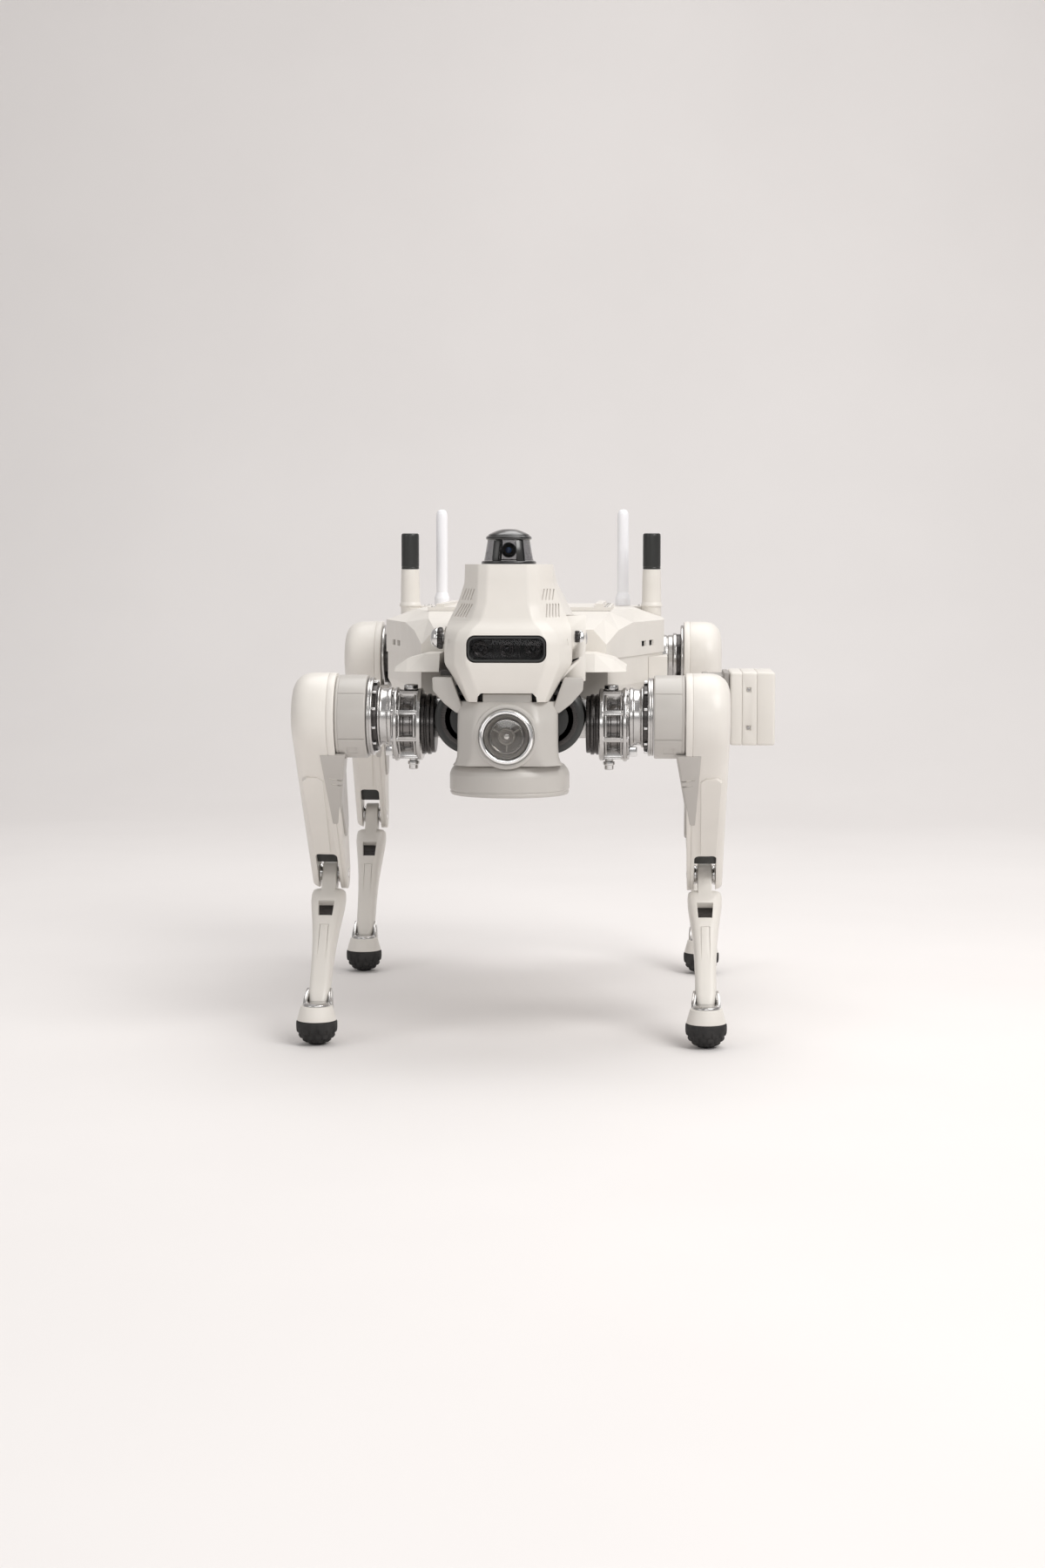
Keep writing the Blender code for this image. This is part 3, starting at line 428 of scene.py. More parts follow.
def carve(made, shape, operation="DIFFERENCE"):
    """Boolean a bmesh tool into a piece and keep the result in its mesh."""
    mesh = bpy.data.meshes.new("tool")
    bmesh.ops.recalc_face_normals(shape, faces=shape.faces[:])
    shape.to_mesh(mesh)
    shape.free()
    tool = bpy.data.objects.new("tool", mesh)
    bpy.context.scene.collection.objects.link(tool)
    step = made.modifiers.new("carve", "BOOLEAN")
    step.object = tool
    step.operation = operation
    step.solver = "EXACT"
    bake(made)
    bpy.data.objects.remove(tool)
    return made


def bake(made, smooth=35):
    """Apply a piece's modifiers to its mesh."""
    bpy.context.view_layer.update()
    graph = bpy.context.evaluated_depsgraph_get()
    mesh = bpy.data.meshes.new_from_object(made.evaluated_get(graph))
    made.modifiers.clear()
    made.data = mesh
    mesh.shade_smooth()
    mesh.set_sharp_from_angle(angle=math.radians(smooth))
    return made


def soften(made, width, segments=2, angle=30):
    """Round a piece's edges with a bevel."""
    step = made.modifiers.new("soften", "BEVEL")
    step.width = width
    step.segments = segments
    step.limit_method = "ANGLE"
    step.angle_limit = math.radians(angle)
    step.use_clamp_overlap = True
    return made


def hex_bolt(radius, height, place, axis="X", flip=1):
    """Socket head screw: a short cylinder with a hexagonal recess."""
    head = lathe(rounded([(0, 0), (radius, 0), (radius, height), (radius * 0.55, height)], radius * 0.2), 20)
    inner = bmesh.new()
    bmesh.ops.create_cone(inner, cap_ends=False, segments=6, radius1=radius * 0.5, radius2=radius * 0.5,
                          depth=height * 0.7)
    moved(inner, Matrix.Translation((0, 0, height * 0.65)))
    floor = bmesh.new()
    bmesh.ops.create_circle(floor, cap_ends=True, segments=6, radius=radius * 0.5)
    moved(floor, Matrix.Translation((0, 0, height * 0.3)))
    shape = merge(head, inner, floor)
    turn = AXIS_TURN[axis] if flip > 0 else AXIS_TURN[axis] @ Matrix.Rotation(math.pi, 4, "X")
    return moved(shape, Matrix.Translation(place) @ turn)


def link_outline(top_radius, end_radius, top_z, end_z, count=40):
    """Side outline (y, z) of a link: a big round end, a small round end and straight flanks."""
    spread = math.asin((top_radius - end_radius) / (top_z - end_z))
    points = []
    for index in range(count + 1):
        turn = -spread + (math.pi + 2 * spread) * index / count
        points.append((top_radius * math.cos(turn), top_z + top_radius * math.sin(turn)))
    lower = count // 2
    for index in range(lower + 1):
        turn = math.pi + spread + (math.pi - 2 * spread) * index / lower
        points.append((end_radius * math.cos(turn), end_z + end_radius * math.sin(turn)))
    return points


# ---------------------------------------------------------------- legs
class Leg:
    """Joint frames of one leg: +X of each frame points outboard, and the leg hangs along -Z."""

    def __init__(self, end, side):
        self.name = f"{end}_{side}"
        self.front = end == "front"
        self.sign = 1 if side == "left" else -1
        hip = Vector(JOINTS[f"{self.name}_hip_pitch"]["pos_m"])
        knee = Vector(JOINTS[f"{self.name}_knee"]["pos_m"])
        low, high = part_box(f"{self.name}_foot")
        foot = Vector((hip.x, (low[1] + high[1]) / 2, low[2] + FOOT_MID_Z))
        outboard = Matrix.Diagonal((self.sign, 1, 1, 1))
        self.thigh = Matrix.Translation(hip) @ self.lean(hip, knee) @ outboard
        self.shank = Matrix.Translation(knee) @ self.lean(knee, foot) @ outboard
        self.foot = Matrix.Translation(foot) @ outboard
        self.hip = Matrix.Translation((MIDDLE_X, hip.y, hip.z)) @ outboard
        self.inner_x = abs(hip.x - MIDDLE_X) - THIGH_HALF

    @staticmethod
    def lean(upper, lower):
        """Turn about X that takes straight down to the line from one joint to the next."""
        return Matrix.Rotation(math.atan2(lower.y - upper.y, upper.z - lower.z), 4, "X")

    def body(self, kind):
        """Name of one of the leg's bodies."""
        return f"{self.name}_{kind}"


def narrow(x, z):
    """The thigh gets narrower towards the knee."""
    return x * (1 - KNEE_TAPER * max(0.0, -z) / THIGH_LENGTH)


def pin_hole(half, z=0):
    """Cutter for the knee pin's hole, along X."""
    return lathe([(0, half), (PIN_HOLE, half), (PIN_HOLE, -half), (0, -half)], 28, "X", (0, 0, z))


def thigh_look(leg):
    """Domed thigh cover with its knee clevis, a raised front panel and a seam round its rim."""
    stations = [(-THIGH_HALF, 0.0012), (-0.0260, 0.0004), (-0.0250, 0.0)]
    for step in range(11):
        rise = math.radians(90 * step / 10)
        stations.append((-0.0020 + 0.0283 * math.sin(rise), 0.0255 * (1 - math.cos(rise)) ** 1.25))
    sections = []
    for x, inset in stations:
        outline = link_outline(THIGH_TOP_RADIUS - inset, THIGH_END_RADIUS - 0.30 * inset, 0, -THIGH_LENGTH, 44)
        sections.append([(narrow(x, z), y, z) for y, z in outline])
    made = piece(f"{leg.name}_thigh_cover_look", skin(sections), "cream", leg.body("thigh"),
                 [f"{leg.name}_thigh_shell"], frame_matrix=leg.thigh)
    knee = -THIGH_LENGTH
    slot = block((-SLOT_HALF, -0.07, knee - 0.05), (SLOT_HALF, 0.07, knee + 0.053), width=0.006, segments=4)
    carve(made, moved(slot, leg.thigh))
    # Painted shade: a black satin block fills the top of the knee slot to stand in for the shade inside the clevis.
    liner = block((-SLOT_HALF - 0.0005, -0.0150, knee + 0.0300), (SLOT_HALF + 0.0005, 0.0150, knee + 0.0540),
                  width=0.0020)
    piece(f"{leg.name}_slot_liner", liner, "black_satin", leg.body("thigh"), frame_matrix=leg.thigh)
    carve(made, moved(pin_hole(0.04, knee), leg.thigh))
    seam = skin([[(x, y, z) for y, z in link_outline(0.0600, 0.0300, 0, knee, 44)] for x in (-0.0182, -0.0176)])
    keep = skin([[(x, y, z) for y, z in link_outline(0.0512, 0.0187, 0, knee, 44)] for x in (-0.0190, -0.0170)])
    ring = piece("seam_tool", moved(seam, leg.thigh), "cream", leg.body("thigh"))
    carve(ring, moved(keep, leg.thigh))
    tool = bmesh.new()
    tool.from_mesh(ring.data)
    bpy.data.objects.remove(ring)
    carve(made, tool)
    soften(made, 0.0007, 2, 50)
    bake(made, 40)
    thigh_panel(leg)
    inner_fairing(leg)
    hub_caps(leg)


def flank(z, side):
    """Distance of the thigh's flank from its middle line at height z."""
    slope = (THIGH_TOP_RADIUS - THIGH_END_RADIUS) / THIGH_LENGTH
    lift = 1 / math.sqrt(1 - slope ** 2)
    return side * (THIGH_TOP_RADIUS + slope * z) * lift


def thigh_panel(leg):
    """Raised cover strip down the front of the thigh, rounded at its top corners."""
    rows = []
    steps = 22
    for index in range(steps + 1):
        t = index / steps
        z = -0.058 - 0.132 * t
        outer = 0.0175 - 0.0040 * t
        inner = -0.0080 + 0.0020 * t
        corner = max(0.0, 0.006 - 0.150 * t) ** 2 / 0.006
        y = flank(z, -1)
        rise = 0.0017
        rows.append([(inner + corner, y + 0.004, z), (inner + corner, y - rise * 0.6, z),
                     (inner + corner + 0.0006, y - rise, z), (outer - corner - 0.0006, y - rise, z),
                     (outer - corner, y - rise * 0.6, z), (outer - corner, y + 0.004, z)])
    piece(f"{leg.name}_thigh_front_panel", skin(rows), "cream", leg.body("thigh"), frame_matrix=leg.thigh)


def inner_fairing(leg):
    """Gray fairing inboard of the thigh, under the hip housing, with two dark slits in its front."""
    rows = []
    for t in (0.0, 0.25, 0.50, 0.75, 0.94, 1.0):
        z = -0.0200 - 0.1250 * t
        end = 0.0022 if t == 1.0 else 0.0
        inner = -0.0380 + 0.0165 * t + end
        outer = -0.0080 - 0.0060 * t - end
        front = flank(z, -1) - 0.0006 + end
        back = flank(z, 1) - 0.0120 - 0.0100 * t
        corner = 0.0030
        rows.append([(outer, front, z), (inner + corner, front, z), (inner, front + corner, z),
                     (inner, back - corner, z), (inner + corner, back, z), (outer, back, z)])
    made = piece(f"{leg.name}_inner_fairing", skin(rows), "gray", leg.body("thigh"), frame_matrix=leg.thigh)
    room = lathe([(0, -0.0240), (0.0510, -0.0240), (0.0510, -0.0600), (0, -0.0600)], 96, "X")
    carve(made, moved(room, leg.thigh))
    for z, reach in ((-0.0560, 0.0240), (-0.0650, 0.0215)):
        y = flank(z, -1)
        slit = block((-0.0400, y - 0.0040, z - 0.0009), (-0.0400 + reach, y + 0.0030, z + 0.0009))
        carve(made, moved(slit, leg.thigh @ Matrix.Translation((0, 0, z)) @ Matrix.Rotation(math.radians(-14), 4, "Y")
                          @ Matrix.Translation((0, 0, -z))))
    soften(made, 0.0009, 3, 30)
    bake(made)


def hub_caps(leg):
    """Knee pin ends, the bearing discs in the clevis and the pin itself."""
    knee = -THIGH_LENGTH
    half = THIGH_HALF * (1 - KNEE_TAPER)
    profile = [(0, half + 0.0004), (0.0045, half + 0.0004), (0.0052, half - 0.0004), (0.0060, half - 0.0010)]
    pin = [(0.0060, 0.0130), (0.0125, 0.0130), (0.0125, 0.0108), (0.0108, 0.0104), (0.0108, 0.0096),
           (0.0125, 0.0092), (0.0125, 0.0089), (0.0060, 0.0089)]
    full = profile + pin + [(radius, -height) for radius, height in reversed(profile + pin)]
    shape = lathe(rounded(full, 0.0004, 2), 44, "X", (0, 0, knee))
    piece(f"{leg.name}_knee_axle_look", shape, "silver_bright", leg.body("thigh"),
          [f"{leg.name}_knee_axle"], frame_matrix=leg.thigh)


def limb_section(z, half, front, back, count=36):
    """Rounded oblong outline of the shank."""
    points = []
    for index in range(count):
        turn = 2 * math.pi * index / count
        across = math.copysign(abs(math.cos(turn)) ** 0.55, math.cos(turn))
        along = math.copysign(abs(math.sin(turn)) ** 0.62, math.sin(turn))
        depth = (front + back) / 2 + (back - front) / 2 * along
        points.append((half * across, depth, z))
    return points


def shank_look(leg):
    """Tapered limb with its tongue, front window, twin grooves, ankle lugs and collar."""
    rows = [(-0.0262, 0.0150, -0.001, 0.010), (-0.0268, 0.0185, -0.004, 0.013),
            (-0.0300, 0.0206, -0.008, 0.0155), (-0.0370, 0.0212, -0.013, 0.0172),
            (-0.0480, 0.0209, -0.017, 0.0180), (-0.0640, 0.0190, -0.0178, 0.0182),
            (-0.0820, 0.0168, -0.0174, 0.0178), (-0.1020, 0.0149, -0.0166, 0.0168),
            (-0.1250, 0.0136, -0.0154, 0.0152), (-0.1500, 0.0130, -0.0142, 0.0138),
            (-0.1700, 0.0129, -0.0134, 0.0130), (-0.1840, 0.0124, -0.0126, 0.0124),
            (-0.1930, 0.0112, -0.0116, 0.0116), (-0.1990, 0.0092, -0.0102, 0.0106),
            (-0.2030, 0.0062, -0.0080, 0.0090), (-0.2050, 0.0030, -0.0050, 0.0060)]
    limb = skin([limb_section(*row) for row in rows])
    made = piece(f"{leg.name}_shank_look", limb, "cream", leg.body("shank"), [f"{leg.name}_shank"],
                 frame_matrix=leg.shank)
    tongue = skin([[(x, y, z) for y, z in link_outline(0.0165 - inset, 0.0120 - inset, 0, -0.052, 30)]
                   for x, inset in ((-TONGUE_HALF, 0.0010), (0.0008 - TONGUE_HALF, 0.0), (TONGUE_HALF - 0.0008, 0.0),
                                    (TONGUE_HALF, 0.0010))])
    carve(made, moved(tongue, leg.shank), "UNION")
    carve(made, moved(pin_hole(0.02), leg.shank))
    window = skin([[(-0.0100, y, -0.0545), (0.0100, y, -0.0545), (0.0085, y, -0.0770), (-0.0085, y, -0.0770)]
                   for y in (-0.04, -0.005)])
    carve(made, moved(window, leg.shank))
    for x in (-0.0052, 0.0052):
        groove = block((x - 0.0003, -0.030, -0.1500), (x + 0.0003, -0.0144, -0.0900))
        carve(made, moved(groove, leg.shank))
    groove = block((-0.0054, -0.030, -0.0905), (0.0054, -0.0160, -0.0899))
    carve(made, moved(groove, leg.shank))
    soften(made, 0.0006, 2, 40)
    bake(made, 40)
    pane = block((-0.0105, -0.0062, -0.0780), (0.0105, -0.0048, -0.0535))
    piece(f"{leg.name}_limb_window", pane, "dark", leg.body("shank"), frame_matrix=leg.shank)
    ankle_look(leg)


def ankle_look(leg):
    """Cream collar, a silver socket with two lugs above it and the joint line below."""
    collar = rounded([(0, 0.0225), (0.0165, 0.0225), (0.0192, 0.0222), (0.0238, 0.0052), (0.0225, 0.0050),
                      (0, 0.0050)], 0.0006, 3)
    piece(f"{leg.name}_ankle_collar", lathe(collar, 72), "cream", leg.body("shank"), frame_matrix=leg.foot)
    lugs = []
    for side in (1, -1):
        lug = skin([[(side * (0.0178 - lean), -depth, z), (side * (0.0178 - lean), depth, z),
                     (side * (0.0128 - lean), depth, z), (side * (0.0128 - lean), -depth, z)]
                    for z, lean, depth in ((0.0160, 0.0, 0.0115), (0.0290, 0.0004, 0.0105),
                                           (0.0400, 0.0014, 0.0080), (0.0490, 0.0026, 0.0045))])
        lugs.append(lug)
    limb_lean = leg.foot.inverted() @ leg.shank @ Matrix.Translation((0, 0, -SHANK_LENGTH))
    lugs = [moved(lug, limb_lean) for lug in lugs]
    socket = lathe(rounded([(0, 0.0262), (0.0120, 0.0262), (0.0160, 0.0250), (0.0168, 0.0220), (0, 0.0220)],
                           0.0008, 2), 48)
    made = piece(f"{leg.name}_ankle_lugs", merge(socket, *lugs), "silver", leg.body("shank"),
                 frame_matrix=leg.foot)
    soften(made, 0.0008, 2)
    bake(made)


def foot_look(leg):
    """Treaded rubber foot: a smooth band under the collar and staggered blocks below it."""
    sides = 120
    rows = [(0.0225, 0.0048), (0.0240, 0.0046), (0.0246, 0.0036), (0.0248, 0.0010), (0.0248, -0.0020)]
    tread = []
    for step in range(13):
        turn = math.radians(2 + 80 * step / 12)
        tread.append((0.0248 * math.cos(turn) ** 0.9, -0.0025 - 0.0222 * math.sin(turn)))
    shape = bmesh.new()
    rings = []
    for row, (radius, height) in enumerate(rows + tread):
        ring = []
        for side in range(sides):
            turn = 2 * math.pi * side / sides
            groove = 0.0
            band = row - len(rows)
            if 1 <= band < 12:
                shift = 0.5 if (band // 3) % 2 else 0.0
                place = (side / sides * 14 + shift) % 1.0
                if place < 0.18 or band % 3 == 0:
                    groove = 0.0017
            radial = max(0.0005, radius - groove * 0.9)
            ring.append(shape.verts.new((radial * math.cos(turn), radial * math.sin(turn), height + groove * 0.4)))
        rings.append(ring)
    piece(f"{leg.name}_foot_look", bridge(shape, rings), "rubber", leg.body("shank"), [f"{leg.name}_foot"],
          smooth=50, frame_matrix=leg.foot)


# ---------------------------------------------------------------- hips
CAGE_DROP = 0.009
DRIVE_X = 0.046
DRIVE_HALF = 0.045


def turned_band(leg, label, profile, look, body, replaced=(), drop=0.0, sides=96, radius=0.0007, cuts=()):
    """A part turned round the hip's X axis, its profile given as (radius, x)."""
    made = piece(f"{leg.name}_{label}", lathe(rounded(profile, radius), sides, "X", (0, 0, -drop)), look, body,
                 replaced, frame_matrix=leg.hip)
    for tool in cuts:
        carve(made, moved(tool, leg.hip))
    return made


def along_groove(angle, radius, start, stop, width=0.0005, depth=0.0008):
    """Cutter for a seam that runs along X on a round housing; 0 degrees faces forward."""
    tool = block((start, -width, -depth), (stop, width, depth + 0.002))
    turn = Matrix.Rotation(math.radians(90 - angle), 4, "X")
    return moved(tool, turn @ Matrix.Translation((0, 0, radius)))


def front_hip_actuator(leg):
    """Silver neck and round gray housing of a front hip motor."""
    body = leg.body("hip")
    end = leg.inner_x - 0.0006
    inboard = end - 0.0365
    housing = [(0, end), (0.0484, end), (0.0495, end - 0.0012), (0.0495, end - 0.0028), (0.0489, end - 0.0032),
               (0.0489, end - 0.0037), (0.0495, end - 0.0041), (0.0495, inboard + 0.0012), (0.0484, inboard),
               (0, inboard)]
    seams = [along_groove(angle, 0.0495, inboard + 0.0010, end - 0.0030) for angle in (36, 216)]
    seams += [along_groove(angle, 0.0495, inboard - 0.002, end - 0.0030) for angle in (-30, 150)]
    made = turned_band(leg, "hip_housing", housing, "gray", body, [f"{leg.name}_hip_actuator"], cuts=seams)
    recess = block((end - 0.0260, -0.0060, -0.0012), (end - 0.0130, 0.0060, 0.003), width=0.0008)
    carve(made, moved(recess, leg.hip @ Matrix.Rotation(math.radians(180 - 38), 4, "X")
                      @ Matrix.Translation((0, 0, 0.0495))))
    soften(made, 0.0003, 2, 60)
    bake(made)
    start = inboard - 0.0006
    flange = [(0, start), (0.0455, start), (0.0465, start - 0.0010), (0.0465, start - 0.0026),
              (0.0458, start - 0.0030), (0.0458, start - 0.0036), (0.0465, start - 0.0040),
              (0.0465, start - 0.0062), (0.0452, start - 0.0070), (0, start - 0.0070)]
    turned_band(leg, "hip_flange", flange, "silver", body)
    gap = [(0, start - 0.0070), (0.0405, start - 0.0070), (0.0405, start - 0.0118), (0, start - 0.0118)]
    turned_band(leg, "hip_gap_ring", gap, "dark", body)
    studs = []
    for index in range(12):
        turn = Matrix.Rotation(math.radians(30 * index + 15), 4, "X")
        stud = lathe(rounded([(0, 0.0), (0.0018, 0.0), (0.0018, 0.0040), (0, 0.0040)], 0.0004), 14, "X",
                     (start - 0.0112, 0, 0.0424))
        studs.append(moved(stud, turn))
    piece(f"{leg.name}_hip_studs", merge(*studs), "silver_bright", body, frame_matrix=leg.hip)
    neck = [(0, start - 0.0112), (0.0350, start - 0.0112), (0.0365, start - 0.0124), (0.0365, start - 0.0142),
            (0.0342, start - 0.0152), (0.0335, start - 0.0170), (0.0335, 0.1462), (0.0350, 0.1448),
            (0.0350, 0.1412), (0.0340, 0.1403), (0, 0.1403)]
    cuts = [along_groove(angle, 0.0337, 0.1490, start - 0.0160) for angle in (62, -62)]
    turned_band(leg, "hip_neck", neck, "silver", body, cuts=cuts)


def rear_hip_actuator(leg):
    """Silver neck and round housing of a rear hip motor."""
    body = leg.body("hip")
    end = leg.inner_x - 0.0006
    flange = [(0, end), (0.0462, end), (0.0470, end - 0.0008), (0.0470, end - 0.0030), (0.0458, end - 0.0040),
              (0, end - 0.0040)]
    turned_band(leg, "hip_flange", flange, "silver", body, [f"{leg.name}_hip_actuator"])
    gap = [(0, end - 0.0040), (0.0345, end - 0.0040), (0.0345, end - 0.0110), (0, end - 0.0110)]
    turned_band(leg, "hip_gap_ring", gap, "dark", body)
    profile = [(0, end - 0.0092), (0.0350, end - 0.0092), (0.0360, end - 0.0100), (0.0360, end - 0.0140),
               (0.0335, end - 0.0150)]
    place = end - 0.0150
    while place > 0.156:
        profile += [(0.0335, place - 0.0062), (0.0322, place - 0.0068), (0.0322, place - 0.0078),
                    (0.0335, place - 0.0084)]
        place -= 0.0150
    profile += [(0.0335, 0.1403), (0, 0.1403)]
    turned_band(leg, "hip_neck", profile, "silver", body)


def hip_bracket_look(leg):
    """Cast cage with windows between its ribs, a smoked motor inside, and the arm to the abduction drive."""
    body = leg.body("hip")
    motor = [(0, 0.1380), (0.0310, 0.1380), (0.0310, 0.1300), (0.0300, 0.1295), (0.0300, 0.1270), (0.0310, 0.1265),
             (0.0310, 0.1190), (0.0300, 0.1185), (0.0300, 0.1160), (0.0310, 0.1155), (0.0310, 0.1060), (0, 0.1060)]
    turned_band(leg, "hip_motor", motor, "smoked_metal", body, [f"{leg.name}_hip_bracket"], CAGE_DROP)
    flange = [(0, 0.1060), (0.0352, 0.1060), (0.0360, 0.1052), (0.0360, 0.1015), (0.0346, 0.1010), (0.0346, 0.0992),
              (0.0360, 0.0987), (0.0360, 0.0950), (0.0340, 0.0944), (0.0340, 0.0903), (0.0332, 0.0895),
              (0, 0.0895)]
    turned_band(leg, "hip_dark_flange", flange, "dark", body, drop=CAGE_DROP)
    inner = [(0.0300, 0.1045), (0.0405, 0.1045), (0.0430, 0.1060), (0.0430, 0.1098), (0.0412, 0.1115),
             (0.0300, 0.1115)]
    outer = [(0.0300, 0.1325), (0.0420, 0.1325), (0.0440, 0.1340), (0.0440, 0.1372), (0.0424, 0.1382),
             (0.0405, 0.1386), (0.0400, 0.1400), (0.0300, 0.1400)]
    parts = [lathe(rounded(inner + inner[:1], 0.0006), 96, "X"), lathe(rounded(outer + outer[:1], 0.0006), 96, "X")]
    for index in range(8):
        rib = block((0.1090, -0.0030, 0.0285), (0.1350, 0.0030, 0.0422), width=0.0012, segments=2)
        web = block((0.1090, -0.0011, 0.0285), (0.1350, 0.0011, 0.0432), width=0.0005)
        lug = lathe(rounded([(0, 0.1310), (0.0040, 0.1310), (0.0040, 0.1404), (0, 0.1404)], 0.0006), 20, "X",
                    (0, 0, 0.0395))
        turn = Matrix.Rotation(math.radians(22.5 + 45 * index), 4, "X")
        parts += [moved(shape, turn) for shape in (rib, web, lug)]
    for index in range(8):
        turn = Matrix.Rotation(math.radians(45 * index), 4, "X")
        for x in (0.1120, 0.1302):
            bar = block((x, -0.0140, 0.0300), (x + 0.0022, 0.0140, 0.0385), width=0.0008)
            parts.append(moved(bar, turn))
    cage = moved(merge(*parts), Matrix.Translation((0, 0, -CAGE_DROP)))
    piece(f"{leg.name}_hip_cage", cage, "silver", body, frame_matrix=leg.hip)
    bracket_arm(leg)
    clamp_screws(leg)


def bracket_arm(leg):
    """Arm that reaches behind the drive, with its bolted pad on the abduction axis."""
    body = leg.body("hip")
    inner_y = DRIVE_HALF + 0.0003
    outer_y = inner_y + 0.0075
    pad = lathe(rounded([(0, inner_y), (0.0328, inner_y), (0.0340, inner_y + 0.0010), (0.0340, outer_y - 0.0024),
                         (0.0320, outer_y - 0.0012), (0.0190, outer_y - 0.0012), (0.0180, outer_y),
                         (0.0120, outer_y), (0.0112, outer_y - 0.0015), (0, outer_y - 0.0015)], 0.0006), 80, "Y",
                (DRIVE_X, 0, 0))
    arm = block((DRIVE_X, inner_y + 0.0006, -0.0285), (0.1255, outer_y - 0.0012, 0.0205), width=0.0022, segments=3)
    rib_low = block((DRIVE_X + 0.030, inner_y + 0.0030, -0.0275), (0.1240, outer_y, -0.0235), width=0.0010)
    rib_high = block((DRIVE_X + 0.030, inner_y + 0.0030, 0.0155), (0.1240, outer_y, 0.0195), width=0.0010)
    elbow = block((0.1072, 0.0205, -0.0318), (0.1288, outer_y - 0.0002, 0.0188), width=0.0030, segments=3)
    piece(f"{leg.name}_hip_arm", merge(pad, arm, rib_low, rib_high, elbow), "silver", body,
          frame_matrix=leg.hip)
    bolts = []
    for index in range(8):
        turn = math.radians(45 * index)
        place = (DRIVE_X + 0.0262 * math.cos(turn), outer_y - 0.0014, 0.0262 * math.sin(turn))
        bolts.append(hex_bolt(0.0026, 0.0016, place, "Y"))
    for z in (-0.012, 0.004):
        bolts.append(hex_bolt(0.0030, 0.0018, (0.1180, outer_y - 0.0004, z), "Y"))
    piece(f"{leg.name}_hip_arm_bolts", merge(*bolts), "dark", body, frame_matrix=leg.hip)


def clamp_screws(leg):
    """Screw bosses above and below the cage."""
    body = leg.body("hip")
    top = lathe(rounded([(0, 0.0200), (0.0078, 0.0200), (0.0078, 0.0290), (0.0060, 0.0296), (0.0060, 0.0310),
                         (0.0085, 0.0318), (0.0085, 0.0372), (0.0072, 0.0385), (0.0040, 0.0385),
                         (0.0036, 0.0365), (0, 0.0365)], 0.0005), 40, "Z", (0.1193, 0, 0))
    low = lathe(rounded([(0, -0.0630), (0.0046, -0.0630), (0.0056, -0.0618), (0.0056, -0.0575),
                         (0.0070, -0.0568), (0.0070, -0.0532), (0.0050, -0.0526), (0.0050, -0.0500),
                         (0.0066, -0.0490), (0.0066, -0.0320), (0, -0.0320)], 0.0004), 36, "Z", (0.1165, 0, 0))
    gusset = block((0.1362, -0.0038, -0.0468), (0.1498, 0.0038, -0.0352), width=0.0012)
    piece(f"{leg.name}_clamp_screws", merge(top, low, gusset), "silver_bright", body, frame_matrix=leg.hip)
    ring = lathe(rounded([(0.0040, 0.0300), (0.0082, 0.0300), (0.0082, 0.0314), (0.0040, 0.0314)], 0.0003), 36,
                 "Z", (0.1193, 0, 0))
    piece(f"{leg.name}_clamp_washer", ring, "dark", body, frame_matrix=leg.hip)


def drive_look(leg):
    """Abduction drive: black body with cooling fins, dark end caps and a bolt circle."""
    front = -DRIVE_HALF
    profile = [(0, front), (0.0300, front), (0.0312, front + 0.0010), (0.0380, front + 0.0012),
               (0.0420, front + 0.0040), (0.0420, front + 0.0120)]
    place = front + 0.0120
    for _ in range(12):
        profile += [(0.0395, place + 0.0006), (0.0395, place + 0.0030), (0.0420, place + 0.0036),
                    (0.0420, place + 0.0055)]
        place += 0.0055
    profile += [(0.0420, DRIVE_HALF - 0.0040), (0.0400, DRIVE_HALF - 0.0006), (0, DRIVE_HALF - 0.0006)]
    shape = lathe(rounded(profile, 0.0005, 2), 80, "Y", (DRIVE_X, 0, 0))
    piece(f"{leg.name}_drive_body", shape, "black_satin", "torso", [f"{leg.name}_abduction_actuator"],
          frame_matrix=leg.hip)
    ring = [(0.0220, front + 0.0030), (0.0345, front + 0.0030), (0.0345, front + 0.0002), (0.0320, front),
            (0.0230, front), (0.0220, front + 0.0010)]
    caps = [lathe(rounded(ring, 0.0005), 80, "Y", (DRIVE_X, 0, 0))]
    for index in range(8):
        turn = math.radians(45 * index + 22.5)
        place = (DRIVE_X + 0.0280 * math.cos(turn), front + 0.0004, 0.0280 * math.sin(turn))
        caps.append(hex_bolt(0.0024, 0.0004, place, "Y", -1))
    piece(f"{leg.name}_drive_cap", merge(*caps), "dark", "torso", frame_matrix=leg.hip)


# ---------------------------------------------------------------- head
HEAD_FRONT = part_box("depth_camera")[0].y - 0.0015
HEAD_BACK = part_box("head_shell")[1].y
HEAD_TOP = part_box("head_shell")[1].z
BROW_Z = sum(corner.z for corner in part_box("depth_camera")) / 2
LAMP_Z = sum(corner.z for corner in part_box("lamp_bezel")) / 2
RING_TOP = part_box("nose_ring")[1].z
HEAD_AXIS = Matrix.Translation((MIDDLE_X, 0, 0))


